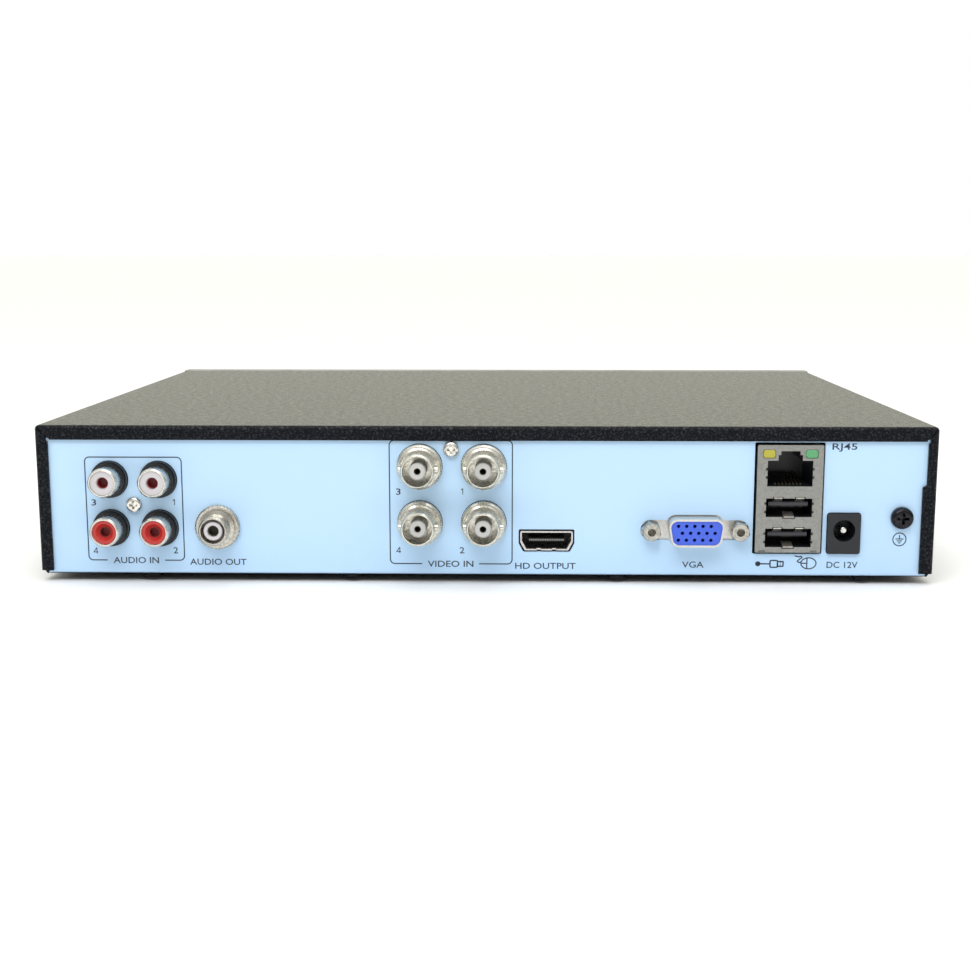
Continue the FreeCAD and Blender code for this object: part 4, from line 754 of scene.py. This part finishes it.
class FlatWork:
    """Flat shapes of one thickness on a plane: printing, labels and spring leaves.

    Places are (across, up) from the origin, in metres, and the thickness rises along across x up.
    """

    def __init__(self, origin, thickness, across=(1, 0, 0), up=(0, 1, 0)):
        across, up = Vector(across), Vector(up)
        self.frame = Matrix((across, up, across.cross(up))).transposed().to_4x4()
        self.frame.translation = origin
        self.thickness = thickness
        self.bm = bmesh.new()

    def fill(self, outline):
        low = [self.bm.verts.new((x, y, 0)) for x, y in outline]
        high = [self.bm.verts.new((x, y, self.thickness)) for x, y in outline]
        self.bm.faces.new(low[::-1])
        self.bm.faces.new(high)
        band(self.bm, low, high)

    def line(self, points, width, closed=False):
        """Line of even width with mitred corners."""
        count = len(points)
        sections = []
        for i, point in enumerate(points):
            p = Vector(point)
            before = Vector(points[i - 1]) if i or closed else None
            after = Vector(points[(i + 1) % count]) if i < count - 1 or closed else None
            way_out = (after - p).normalized() if after else (p - before).normalized()
            way_in = (p - before).normalized() if before else way_out
            along = (way_in + way_out).normalized()
            side = Vector((-along.y, along.x)) * (width / 2 / max(0.4, along.dot(way_in)))
            corners = ((p + side, 0), (p - side, 0), (p - side, self.thickness), (p + side, self.thickness))
            sections.append([self.bm.verts.new((q.x, q.y, z)) for q, z in corners])
        for a, b in zip(sections, sections[1:] + sections[:1] if closed else sections[1:]):
            band(self.bm, a, b)
        if not closed:
            self.bm.faces.new(sections[0][::-1])
            self.bm.faces.new(sections[-1])

    def stroke(self, middle, points, width):
        """Line through places counted in millimetres from a middle."""
        self.line([near(middle, *p) for p in points], width)

    def ring(self, centre, radius, width):
        self.line(circle(centre, radius, 32), width, closed=True)

    def dot(self, centre, radius):
        self.fill(circle(centre, radius, 24))

    def frame_line(self, low, high, radius, width, gap=None):
        """Rounded frame, with a gap in its lower side from gap[0] to gap[1] if one is given."""
        points = rounded(low, high, radius)
        if gap:
            points = [(gap[1], low[1])] + points + [(gap[0], low[1])]
        self.line(points, width, closed=gap is None)

    def word(self, text, centre, height, width):
        """Plain capitals or digits of a given height and whole width, centred on a place."""
        capital = lettering("H")
        tall = max(v.co.y for v in capital.vertices)
        bpy.data.meshes.remove(capital)
        mesh = lettering(text)
        xs = [v.co.x for v in mesh.vertices]
        fit_x = width / (max(xs) - min(xs))
        fit_y = height / tall
        start = len(self.bm.verts)
        self.bm.from_mesh(mesh)
        self.bm.verts.ensure_lookup_table()
        for vertex in self.bm.verts[start:]:
            x, y, z = vertex.co
            vertex.co = (centre[0] + (x - (min(xs) + max(xs)) / 2) * fit_x,
                         centre[1] + (y - tall / 2) * fit_y,
                         self.thickness if z > 0 else 0)
        bpy.data.meshes.remove(mesh)

    def finish(self, name, slot, material=None):
        self.bm.transform(self.frame)
        bmesh.ops.remove_doubles(self.bm, verts=self.bm.verts, dist=1e-7)
        return add_piece(name, mesh_from(self.bm, name), material or finish(slot))


def lettering(text):
    """Plain mesh of a line of text that stands on its origin."""
    curve = bpy.data.curves.new("lettering", "FONT")
    curve.body = text
    curve.offset = LETTER_WEIGHT
    curve.resolution_u = 3
    curve.extrude = 0.1
    return evaluated_mesh(new_object("lettering", curve), "lettering")


def on_panel(place):
    """(across, up) of a point of the part, from the case's left edge and underside as the panel is read."""
    return CASE_LEFT - place.x, place.z - CASE_BASE


# ------------------------------------------------------------------ steps

class FinishParts(bpy.types.Operator):
    """Make every material and put it on the recorder's parts"""

    bl_idname = "recorder.finish_parts"
    bl_label = "Finish the parts"

    def execute(self, context):
        scene = context.scene
        case, sockets, board = scene.recorder_case, scene.recorder_sockets, scene.recorder_board
        powder_coat("case_black", case.coat_colour, case.coat_pebble)
        panel_paint("panel_blue", case.panel_colour)
        board_mask("board_green", board.mask_colour)
        clear_plastic("window_smoke", (0.05, 0.05, 0.06), 0.03)
        clear_plastic("lens_clear", (0.92, 0.94, 0.96), 0.10)
        disc_mirror("platter_mirror", (0.86, 0.86, 0.87))
        moulded("insert_white", sockets.white_core, 0.32, 0.6, 0.004, 0.0)
        moulded("insert_red", sockets.red_core, 0.24, 0.6, 0.004, 0.0)
        moulded("vga_blue", sockets.display_core, 0.35, 0.5, 0.004, 0.0)
        printed("panel_ink", case.ink_colour)
        for name, colour in PRINTED.items():
            printed(name, colour)
        for name, colour in WIRES.items():
            moulded(name, colour, 0.42, 0.3, 0.004, 0.0)
        for name, values in MOULDED.items():
            moulded(name, *values)
        for name, values in PLATED.items():
            plated(name, *values)
        for row in frame["record"]["subparts"]:
            node = row["node"]
            name = VARIANTS.get(node, row["material_slot"])
            NODES[node].data.materials.clear()
            NODES[node].data.materials.append(finish(name))
        return {"FINISHED"}


class PrintPanel(bpy.types.Operator):
    """Print the frames, words, numbers and signs of the socket panel"""

    bl_idname = "recorder.print_panel"
    bl_label = "Print the socket panel"

    # Numbers of straight strokes, as places in halves of a number's height from its middle.
    strokes = {
        "1": (((-0.4, 0.43), (0.115, 0.95)), ((0.15, 1.0), (0.15, -1.0))),
        "4": (((0.72, -0.48), (-0.68, -0.48), (0.28, 0.95)), ((0.33, 1.0), (0.33, -1.0))),
    }

    def execute(self, context):
        self.sizes = context.scene.recorder_print
        origin = Vector((CASE_LEFT, PANEL_FACE, CASE_BASE))
        self.ink = FlatWork(origin, self.sizes.ink_thickness, (-1, 0, 0), (0, 0, 1))
        audio = [on_panel(middle_of(b)) for b in loose_parts("audio_in_barrels")]
        self.socket_frame(audio, (6.9, 6.7, 9.45, 6.35), "AUDIO IN", 13.1, 8.3, -0.27)
        self.socket_numbers(audio, ((-4.8, -6.7), (4.25, -6.55)) * 2)
        video = [on_panel(middle_of(b)) for b in loose_parts("video_in_insulators")]
        self.socket_frame(video, (8.55, 8.1, 11.85, 7.4), "VIDEO IN", 13.1, 8.15, -0.4)
        self.socket_numbers(video, ((-6.1, -7.9), (-6.2, -7.9), (-6.1, -7.2), (-6.1, -7.1)))
        self.labels()
        self.plug_sign(near(self.place("port_cage"), -4.9, -18.85))
        self.mouse_sign(near(self.place("port_cage"), 6.3, -18.65))
        self.earth_sign(near(self.place("ground_screw"), -0.3, -6.25))
        self.ink.finish("panel_printing", "panel_blue", finish("panel_ink"))
        return {"FINISHED"}

    def place(self, node):
        return on_panel(middle_of(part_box(node)))

    def word(self, text, centre, width):
        self.ink.word(text, centre, self.sizes.capital_height, width * MM)

    def socket_frame(self, sockets, margins, text, width, half_gap, shift):
        """Frame round four sockets, with a word in its lower side.

        margins are from the outer sockets' middles: left, right, low and high. shift moves the word.
        """
        left, right, low, high = (m * MM for m in margins)
        xs, ys = zip(*sockets)
        middle = (min(xs) + max(xs)) / 2 + shift * MM
        bottom = min(ys) - low
        self.ink.frame_line((min(xs) - left, bottom), (max(xs) + right, max(ys) + high),
                            self.sizes.corner_radius, self.sizes.line_width,
                            (middle - half_gap * MM, middle + half_gap * MM))
        self.word(text, (middle, bottom), width)

    def socket_numbers(self, sockets, shifts):
        """The numbers 4, 2, 3 and 1. The straight ones are drawn as strokes."""
        half = self.sizes.capital_height / 2 / MM
        for text, socket, shift in zip("4231", sockets, shifts):
            middle = near(socket, *shift)
            if text not in self.strokes:
                self.word(text, middle, 1.35)
            for stroke in self.strokes.get(text, ()):
                self.ink.stroke(middle, [(x * half, y * half) for x, y in stroke], 0.23 * MM)

    def labels(self):
        for text, node, across, up, width in (
            ("AUDIO OUT", "audio_out_barrel", -0.25, -10.25, 16.3),
            ("HD OUTPUT", "hd_socket_tongue", -0.25, -7.35, 17.3),
            ("VGA", "vga_flange", -0.3, -10.4, 6.2),
            ("RJ45", "port_cage", 15.25, 14.85, 7.0),
            ("DC 12V", "power_jack", 0.0, -9.1, 8.8),
        ):
            self.word(text, near(self.place(node), across, up), width)

    def plug_sign(self, middle):
        """A cable that ends in a flat plug."""
        ink, width = self.ink, self.sizes.line_width * 1.2
        ink.dot(near(middle, -3.2, 0), 0.75 * MM)
        ink.stroke(middle, ((-3.2, 0), (0.3, 0)), width)
        ink.frame_line(near(middle, 0.3, -1.0), near(middle, 2.4, 1.0), 0.3 * MM, width)
        ink.frame_line(near(middle, 2.4, -0.7), near(middle, 4.0, 0.7), 0.1 * MM, width)
        for up in (-0.3, 0.3):
            ink.dot(near(middle, 3.2, up), 0.16 * MM)

    def mouse_sign(self, middle):
        """A mouse with its two keys and its curly lead."""
        ink, width = self.ink, self.sizes.line_width
        ink.line(circle(middle, 2.15 * MM, 30, 1.6 * MM), width, closed=True)
        ink.stroke(middle, ((-0.45, 1.55), (-0.45, -1.55)), width)
        ink.stroke(middle, ((-2.15, 0), (-0.45, 0)), width)
        ink.stroke(middle, ((-2.0, 0.5), (-2.7, 0.2), (-3.2, 0.6), (-2.6, 1.2), (-1.9, 1.6),
                            (-2.1, 2.0), (-2.9, 1.9), (-4.0, 2.15)), width)

    def earth_sign(self, middle):
        """Protective earth: a stem over three shorter and shorter bars, in a ring."""
        ink, width = self.ink, self.sizes.line_width * 0.9
        ink.ring(middle, 1.85 * MM, width)
        ink.stroke(middle, ((0, 1.2), (0, 0.1)), width)
        for half, up in ((1.15, 0.1), (0.75, -0.45), (0.35, -1.0)):
            ink.stroke(middle, ((-half, up), (half, up)), width)


class PrintFront(bpy.types.Operator):
    """Print the three signs over the front's indicator lamps"""

    bl_idname = "recorder.print_front"
    bl_label = "Print the front"

    def execute(self, context):
        sizes = context.scene.recorder_print
        width = sizes.line_width * 1.3
        origin = Vector((BEZEL_LOW.x, BEZEL_LOW.y, CASE_BASE))
        ink = FlatWork(origin, sizes.ink_thickness, (1, 0, 0), (0, 0, 1))
        lamps = [middle_of(b) for b in loose_parts("light_pipes")]
        places = sorted((p.x - BEZEL_LOW.x, p.z - CASE_BASE) for p in lamps)
        power, disc, network = (near(p, 0, 4.2) for p in places)
        ink.line(arc(power, 0.95 * MM, 125, 415, 20), width)
        ink.stroke(power, ((0, 0), (0, 1.3)), width)
        ink.line(circle(near(disc, 0, 0.6), 1.3 * MM, 24, 0.45 * MM), width, closed=True)
        lower_edge = arc(near(disc, 0, -0.6), 1.3 * MM, 200, 340, 7, 0.45 * MM)
        ink.line([near(disc, -1.3, 0.6), near(disc, -1.3, -0.6)] + lower_edge
                 + [near(disc, 1.3, -0.6), near(disc, 1.3, 0.6)], width)
        for across, up in ((0, 0.9), (-1.1, -0.9), (1.1, -0.9)):
            ink.frame_line(near(network, across - 0.4, up - 0.35), near(network, across + 0.4, up + 0.35),
                           0.08 * MM, width * 0.8)
        ink.stroke(network, ((-1.1, -0.5), (-1.1, 0), (1.1, 0), (1.1, -0.5)), width * 0.8)
        ink.stroke(network, ((0, 0), (0, 0.5)), width * 0.8)
        ink.finish("front_printing", "bezel_black", finish("white_ink"))
        return {"FINISHED"}


class DetailAudio(bpy.types.Operator):
    """Line the audio sockets' centre holes with cups shaped like their contact tubes, coloured dark as
    painted shade deep in the holes
    """

    bl_idname = "recorder.detail_audio"
    bl_label = "Audio socket contacts"

    radius = 1.58 * MM            # of a cup, just inside the core's hole
    wall = 0.22 * MM
    base = 0.4 * MM
    depth = 2.6 * MM
    behind = 3.6 * MM             # from the core's face to the bottom of the cup

    def execute(self, context):
        cores = loose_parts("audio_in_red_inserts") + loose_parts("audio_in_white_inserts")
        # The cups have the contact tubes' shape; their dark red and dark olive are painted shade.
        self.line_holes("audio_hole_shade_linings", cores, finish("cavity_red"), "insert_red")
        self.line_holes("audio_out_contact_shade", loose_parts("audio_out_insert"), finish("cavity_olive"),
                        "barrel_nickel")
        return {"FINISHED"}

    def line_holes(self, name, cores, material, slot):
        """A cup in each core's centre hole, in a dark material that paints the shade there."""
        inner = self.radius - self.wall
        profile = ((0, 0), (self.radius, 0), (self.radius, self.depth), (inner, self.depth),
                   (inner, self.base), (0, self.base))
        bm = bmesh.new()
        for core in cores:
            start = middle_of(core)
            start.y = core[1].y - self.behind
            add_ring_solid(bm, profile, start, 32)
        bmesh.ops.remove_doubles(bm, verts=bm.verts, dist=1e-7)
        bmesh.ops.dissolve_degenerate(bm, edges=bm.edges, dist=1e-8)
        add_piece(name, mesh_from(bm, name), material)


class DetailVideo(bpy.types.Operator):
    """Ridge the coaxial sockets' shoulders"""

    bl_idname = "recorder.detail_video"
    bl_label = "Coaxial socket ridges"

    shoulder_radius = 6.35 * MM
    shoulder_depth = 1.8 * MM
    shoulder_middle = 1.05 * MM   # in front of the panel
    ridge_width = 0.34 * MM

    def execute(self, context):
        sizes = context.scene.recorder_sockets
        points = [middle_of(b) for b in loose_parts("video_in_insulators")]
        for point in points:
            point.y = PANEL_FACE + self.shoulder_middle
        values = {"Radius": self.shoulder_radius, "Count": sizes.ridge_count,
                  "Size": (sizes.ridge_height * 2, self.ridge_width, self.shoulder_depth)}
        grown_piece("video_socket_ridges", "Ring of ridges", points, values, "barrel_nickel")
        return {"FINISHED"}


class DetailPorts(bpy.types.Operator):
    """Bend the data sockets' spring leaves and lay the contacts on their tongues"""

    bl_idname = "recorder.detail_ports"
    bl_label = "Data socket springs"

    opening_height = 5.3 * MM
    tongue_gap = 0.95 * MM        # opening's upper edge above the tongue
    upper_span = 6.2 * MM         # between the upper leaves' middles
    upper_width = 2.3 * MM
    lower_width = 2.9 * MM
    contact_run = 7.5 * MM
    contact_shift = 1.0 * MM      # of the contacts toward the opening

    def execute(self, context):
        leaf = context.scene.recorder_sockets.leaf_thickness
        middle = middle_of(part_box("port_cage")).x
        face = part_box("port_cage")[1].y
        self.bm = bmesh.new()
        pairs = []
        for tongue in loose_parts("usb_tongues"):
            low, high = tongue
            top = high.z + self.tongue_gap
            for side in (-1, 1):
                self.leaf(middle + side * self.upper_span / 2, face, top, -1, self.upper_width, leaf)
            self.leaf(middle, face, top - self.opening_height, 1, self.lower_width, leaf)
            y = middle_of(tongue).y + self.contact_shift
            pairs.append(((middle - self.contact_run / 2, y, low.z),
                          (middle + self.contact_run / 2 + 0.1 * MM, y, low.z)))
        add_piece("usb_spring_leaves", mesh_from(self.bm, "usb_spring_leaves"), finish("leaf_shaded"))
        strips("usb_contacts", pairs, 2.5 * MM, (1.0 * MM, 9.0 * MM, 0.2 * MM), "contact_gold")
        return {"FINISHED"}

    def leaf(self, x, face, edge, inward, width, thickness):
        """Leaf that hooks over an opening's edge and slopes into it. inward is 1 up or -1 down."""
        shape = ((0.0, -0.14), (-0.25, 0.06), (-0.8, 0.35), (-1.6, 0.72), (-3.0, 1.0), (-5.0, 0.7))
        work = FlatWork((x - width / 2, face, edge), width, (0, 1, 0), (0, 0, 1))
        work.line([(y * MM, z * inward * MM) for y, z in shape], thickness)
        work.bm.transform(work.frame)
        mesh = bpy.data.meshes.new("leaf")
        work.bm.to_mesh(mesh)
        work.bm.free()
        self.bm.from_mesh(mesh)
        bpy.data.meshes.remove(mesh)


class DetailScreens(bpy.types.Operator):
    """Lay the fine contacts of the high-definition socket on its tongue"""

    bl_idname = "recorder.detail_screens"
    bl_label = "Display socket contacts"

    half_run = 4.75 * MM
    above_middle = 0.18 * MM      # of the contacts' middle over the tongue's

    def execute(self, context):
        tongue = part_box("hd_socket_tongue")
        middle = middle_of(tongue)
        points = [(middle.x + side * self.half_run, tongue[1].y, middle.z + self.above_middle)
                  for side in (-1, 1)]
        strips("hd_contacts", [points], 0.5 * MM, (0.3 * MM, 0.5 * MM, 0.45 * MM), "contact_gold",
               finish("shell_tin"))
        return {"FINISHED"}


class PopulateBoard(bpy.types.Operator):
    """Put legs, small parts and markings on the main board"""

    bl_idname = "recorder.populate_board"
    bl_label = "Populate the main board"

    grid = (3.4 * MM, 2.7 * MM)
    margin = 4 * MM
    share = 0.42                  # of the grid's places that hold a small part, before crowding
    clear = 1.2 * MM              # round everything that stands on the board

    def execute(self, context):
        self.sizes = context.scene.recorder_board
        self.low, self.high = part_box("main_board")
        self.chips = loose_parts("board_chips")
        self.legs()
        self.small_parts()
        self.markings()
        self.can_marks()
        self.cell_mark()
        return {"FINISHED"}

    def legs(self):
        """Legs on the four sides of every chip but the processor, which has none."""
        pairs = []
        z = self.high.z + 0.15 * MM
        inset = 0.8 * MM
        processor = max(self.chips, key=lambda b: (b[1].x - b[0].x) * (b[1].y - b[0].y))
        for box in self.chips:
            if box is processor:
                continue
            (x0, y0, _), (x1, y1, _) = box
            pairs += [((x0 + inset, y, z), (x1 - inset, y, z)) for y in (y0, y1)]
            pairs += [((x, y0 + inset, z), (x, y1 - inset, z)) for x in (x0, x1)]
        strips("chip_legs", pairs, self.sizes.leg_pitch, (0.32 * MM, 2.2 * MM, 0.16 * MM), "shell_tin")

    def taken(self):
        """Footprints of everything that stands on the board."""
        nodes = ("board_chips", "capacitors", "inductors", "cell_holder", "buzzer", "board_headers",
                 "board_screws", "heat_sink", "audio_in_housing", "audio_out_housing", "video_in_housing",
                 "vga_insert", "hd_socket_shell", "port_cage", "power_jack", "lead_plugs", "drive_leads")
        return [box for node in nodes for box in loose_parts(node)]

    def small_parts(self):
        """Resistors and ceramic capacitors on a loose grid, clear of everything else."""
        pick = random.Random(11)
        taken = self.taken()
        points = []
        columns = int((self.high.x - self.low.x - 2 * self.margin) / self.grid[0])
        rows = int((self.high.y - self.low.y - 2 * self.margin) / self.grid[1])
        for i in range(columns):
            for j in range(rows):
                x = self.low.x + self.margin + i * self.grid[0]
                y = self.low.y + self.margin + j * self.grid[1]
                crowding = 0.35 + abs(math.sin(x * 60) * math.cos(y * 75))
                wanted = pick.random() < self.share * crowding
                free = not any(a.x - self.clear < x < b.x + self.clear
                               and a.y - self.clear < y < b.y + self.clear for a, b in taken)
                if wanted and free:
                    points.append((x, y, self.high.z))
        body = {"Size": (1.0 * MM, 0.8 * MM, 0.45 * MM), "Lift": 0.23 * MM}
        ends = {"Size": (1.6 * MM, 0.78 * MM, 0.40 * MM), "Lift": 0.20 * MM}
        for name, group, slot in (("board_resistors", points[::2], "chip_black"),
                                  ("board_ceramics", points[1::2], "header_cream")):
            for label, values, look in ((name, body, slot), (name + "_ends", ends, "shell_tin")):
                values = dict(values, Turns=1, Seed=self.sizes.small_part_seed)
                grown_piece(label, "Blocks on points", group, values, look)

    def markings(self):
        """White outlines round the chips, coils and cans."""
        ink = FlatWork((0, 0, self.high.z), 0.02 * MM)
        gap = 1.5 * MM
        width = 0.18 * MM
        for low, high in self.chips + loose_parts("inductors"):
            ink.frame_line((low.x - gap, low.y - gap), (high.x + gap, high.y + gap), 0.3 * MM, width)
            ink.dot((low.x - gap + 0.6 * MM, low.y - gap + 0.6 * MM), 0.3 * MM)
        for can in loose_parts("capacitors"):
            ink.ring(middle_of(can).xy, 3.9 * MM, width)
        ink.finish("board_markings", "board_green", finish("white_ink"))

    def can_marks(self):
        """Dark polarity patch and scored vent on every capacitor."""
        cans = loose_parts("capacitors")
        work = FlatWork((0, 0, cans[0][1].z), 0.03 * MM)
        for can in cans:
            centre = middle_of(can).xy
            radius = (can[1].x - can[0].x) / 2 - 0.45 * MM
            work.fill(arc(centre, radius, 130, 230, 12))
            for turn in (0, 60, 120):
                work.line(arc(near(centre, 0.6, 0), 1.3 * MM, turn + 180, turn, 1), 0.12 * MM)
        work.finish("capacitor_marks", "chip_black")

    def cell_mark(self):
        """Plus sign stamped into the coin cell's case."""
        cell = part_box("coin_cell")
        centre = middle_of(cell).xy
        work = FlatWork((0, 0, cell[1].z), 0.02 * MM)
        work.ring(centre, 7.4 * MM, 0.2 * MM)
        work.stroke(centre, ((-1.4, 2), (1.4, 2)), 0.35 * MM)
        work.stroke(centre, ((0, 0.6), (0, 3.4)), 0.35 * MM)
        work.finish("coin_cell_mark", "cell_steel", finish("ferrite_grey"))


class DetailDrive(bpy.types.Operator):
    """Put the lid screws, the blank label and the vent on the hard drive"""

    bl_idname = "recorder.detail_drive"
    bl_label = "Hard drive details"

    screw_edge = 4.5 * MM         # from the lid's edges to the screws' middles
    screw_shift = 12 * MM         # of the middle pair toward the arm
    label_start = 24 * MM         # from the spindle
    vent_place = (14, 15)

    def execute(self, context):
        low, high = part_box("drive_lid")
        edge = self.screw_edge
        xs = (low.x + edge, middle_of((low, high)).x + self.screw_shift, high.x - edge)
        points = [(x, y, high.z + 0.3 * MM) for x in xs for y in (low.y + edge, high.y - edge)]
        values = {"Radius": 2.6 * MM, "Height": 0.9 * MM}
        grown_piece("drive_lid_screws", "Lobed screw heads", points, values, "screw_zinc")
        spindle = middle_of(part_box("drive_platters"))
        label = FlatWork((0, 0, high.z), 0.08 * MM)
        corner = near((spindle.x + self.label_start, low.y), 0, 16)
        label.fill(rounded(corner, near(high.xy, -14, -16), 2 * MM))
        label.finish("drive_label", "drive_lid_steel", finish("drive_label_film"))
        vent = FlatWork((0, 0, high.z), 0.03 * MM)
        place = near(low.xy, *self.vent_place)
        vent.dot(place, 1.1 * MM)
        vent.ring(place, 2.6 * MM, 0.3 * MM)
        vent.finish("drive_vent", "drive_lid_steel", finish("chip_black"))
        return {"FINISHED"}


class RunLeads(bpy.types.Operator):
    """Replace the plain tubes of the inner leads with bundles of coloured wires"""

    bl_idname = "recorder.run_leads"
    bl_label = "Run the inner leads"

    def execute(self, context):
        data, power = sorted(loose_parts("drive_leads"), key=lambda b: b[1].x)
        first = self.bundle("data_lead", self.bent_path(data, 13 * MM), [(0, 0)], 1.62 * MM, ("wire_red",))
        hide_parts("drive_leads")
        self.bundle("power_lead", self.bent_path(power, 24 * MM), circle((0, 0), 1.04 * MM, 4, start=45),
                    0.72 * MM, ("wire_yellow", "wire_black", "wire_red", "wire_black"))
        low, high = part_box("front_lead")
        middle = middle_of((low, high))
        straight = [Vector((middle.x, y, middle.z)) for y in even_steps(low.y, high.y, 12)]
        thin = self.bundle("indicator_lead", straight, circle((0, 0), 0.86 * MM, 5), 0.48 * MM,
                           ("wire_red", "wire_white", "wire_green", "wire_yellow", "wire_black"))
        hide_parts("front_lead")
        return {"FINISHED"}

    def bent_path(self, box, bend):
        """Along +X, round one bend and along +Y, in the middle of the tube's box."""
        low, high = box
        r = (high.z - low.z) / 2
        x, y = high.x - r, low.y + r
        path = [(along, y) for along in even_steps(low.x, x - bend, 6)[:-1]]
        path += arc((x - bend, y + bend), bend, -90, 0, 16)
        path += [(x, along) for along in even_steps(y + bend, high.y, 6)[1:]]
        return [Vector((*place, middle_of(box).z)) for place in path]

    def bundle(self, name, path, offsets, radius, slots):
        """Wires that twist slowly round a path. Returns the first wire."""
        pieces = []
        for offset, slot in zip(offsets, slots):
            bm = bmesh.new()
            self.sweep(bm, path, offset, radius)
            pieces.append(add_piece(f"{name}_{len(pieces) + 1}", mesh_from(bm, name, smooth=True),
                                    finish(slot)))
        return pieces[0]

    def sweep(self, bm, path, offset, radius, sides=12, twist=70.0):
        """Closed tube at an offset from a path; twist is in radians a metre."""
        sections = []
        travelled = 0.0
        for i, point in enumerate(path):
            before, after = path[max(i - 1, 0)], path[min(i + 1, len(path) - 1)]
            along = (after - before).normalized()
            across = along.cross(Vector((0, 0, 1))).normalized()
            up = across.cross(along)
            travelled += (point - before).length
            a = twist * travelled
            shift = across * (offset[0] * math.cos(a) - offset[1] * math.sin(a))
            shift += up * (offset[0] * math.sin(a) + offset[1] * math.cos(a))
            turns = [2 * math.pi * k / sides for k in range(sides)]
            middle = point + shift
            sections.append([bm.verts.new(middle + (across * math.cos(b) + up * math.sin(b)) * radius)
                             for b in turns])
        for a, b in zip(sections, sections[1:]):
            band(bm, a, b)
        bm.faces.new(sections[0][::-1])
        bm.faces.new(sections[-1])


class SetStage(bpy.types.Operator):
    """Lay the pale floor, hang the lights and stand the camera behind the recorder"""

    bl_idname = "recorder.set_stage"
    bl_label = "Set the stage"

    # Each light's name, place, aim, width and share of the key light's power.
    lights = (("key_light", (0.10, 0.62, 0.62), (0, 0.10, 0.02), 0.55, 1.0),
              ("top_light", (-0.05, -0.05, 0.9), (0, 0, 0), 0.9, 0.5))
    camera_place = (-0.00927, 0.53286, 0.09368)
    camera_turn = (79.408, 0.001, -178.795)
    camera_values = {"lens": 57.3, "sensor_width": 36, "shift_y": 0.0561, "clip_start": 0.01}

    def execute(self, context):
        stage = context.scene.recorder_stage
        context.scene.view_settings.view_transform = "Standard"
        self.floor(stage.floor_size)
        self.sky(context.scene, stage.sky_strength)
        for name, place, aim, width, share in self.lights:
            self.area_light(name, place, aim, width, stage.key_power * share)
        self.camera(context.scene)
        return {"FINISHED"}

    def floor(self, size):
        bm = bmesh.new()
        bmesh.ops.create_grid(bm, x_segments=4, y_segments=4, size=size / 2)
        mesh = mesh_from(bm, "floor")
        floor = new_object("floor", mesh)
        f = Finish("floor_paper")
        grain = f.effect("Fine grain", size=0.6 * MM)
        f.set("Base Color", f.mix(grain["Cloud"], (0.93, 0.93, 0.93), (0.95, 0.95, 0.95)))
        f.set("Roughness", 0.8)
        mesh.materials.append(f.material)

    def sky(self, scene, strength):
        world = bpy.data.worlds.new("studio")
        scene.world = world
        world.use_nodes = True
        w = Wiring(world.node_tree)
        background = world.node_tree.nodes["Background"]
        generated = w.add("ShaderNodeTexCoord").outputs["Generated"]
        direction = w.add("ShaderNodeSeparateXYZ", {0: generated}).outputs
        # The sky is brightest beyond the front, where the cover mirrors it at a glancing angle.
        # The camera itself sees plain white.
        overhead = w.span(direction["Z"], 0.05, 0.8)
        ahead = w.span(direction["Y"], -0.9, 0.1, 1.5, 0.34)
        seen = w.add("ShaderNodeLightPath").outputs["Is Camera Ray"]
        unseen = w.math("SUBTRACT", 1.0, seen)
        lit = w.times(w.times(w.math("MAXIMUM", overhead, ahead), strength), unseen)
        w.feed(background.inputs["Strength"], w.math("ADD", seen, lit))
        warm = w.times(w.span(direction["Y"], -0.9, 0.1, 1.0, 0.0), unseen)
        w.feed(background.inputs["Color"], w.mix(warm, (1.0, 1.0, 1.0), (1.0, 1.0, 0.86)))

    def area_light(self, name, place, aim, size, power):
        data = bpy.data.lights.new(name, "AREA")
        data.shape = "RECTANGLE"
        data.size = size
        data.size_y = size * 0.6
        data.energy = power
        light = new_object(name, data)
        light.location = place
        light.rotation_euler = (Vector(aim) - Vector(place)).to_track_quat("-Z", "Y").to_euler()

    def camera(self, scene):
        data = bpy.data.cameras.new("camera")
        for key, value in self.camera_values.items():
            setattr(data, key, value)
        camera = new_object("camera", data)
        camera.location = self.camera_place
        camera.rotation_euler = [math.radians(a) for a in self.camera_turn]
        scene.camera = camera


STEPS = (FinishParts, PrintPanel, PrintFront, DetailAudio, DetailVideo, DetailPorts, DetailScreens,
         PopulateBoard, DetailDrive, RunLeads, SetStage)


class RecorderPanel(bpy.types.Panel):
    """Sidebar panel with the recorder's settings and steps"""

    bl_idname = "VIEW3D_PT_recorder"
    bl_label = "Security recorder"
    bl_space_type = "VIEW_3D"
    bl_region_type = "UI"
    bl_category = "Recorder"

    def draw(self, context):
        for name, group in SETTINGS.items():
            column = self.layout.column()
            for key in group.__annotations__:
                column.prop(getattr(context.scene, name), key)
        for step in STEPS:
            self.layout.operator(step.bl_idname)


def register():
    for group in SETTINGS.values():
        bpy.utils.register_class(group)
    for name, group in SETTINGS.items():
        setattr(bpy.types.Scene, name, bpy.props.PointerProperty(type=group))
    for step in STEPS + (RecorderPanel,):
        bpy.utils.register_class(step)


def unregister():
    for step in (RecorderPanel,) + STEPS[::-1]:
        bpy.utils.unregister_class(step)
    for name in SETTINGS:
        delattr(bpy.types.Scene, name)
    for group in SETTINGS.values():
        bpy.utils.unregister_class(group)


def main():
    register()
    for step in STEPS:
        group, name = step.bl_idname.split(".")
        getattr(getattr(bpy.ops, group), name)()


if __name__ == "__main__":
    main()
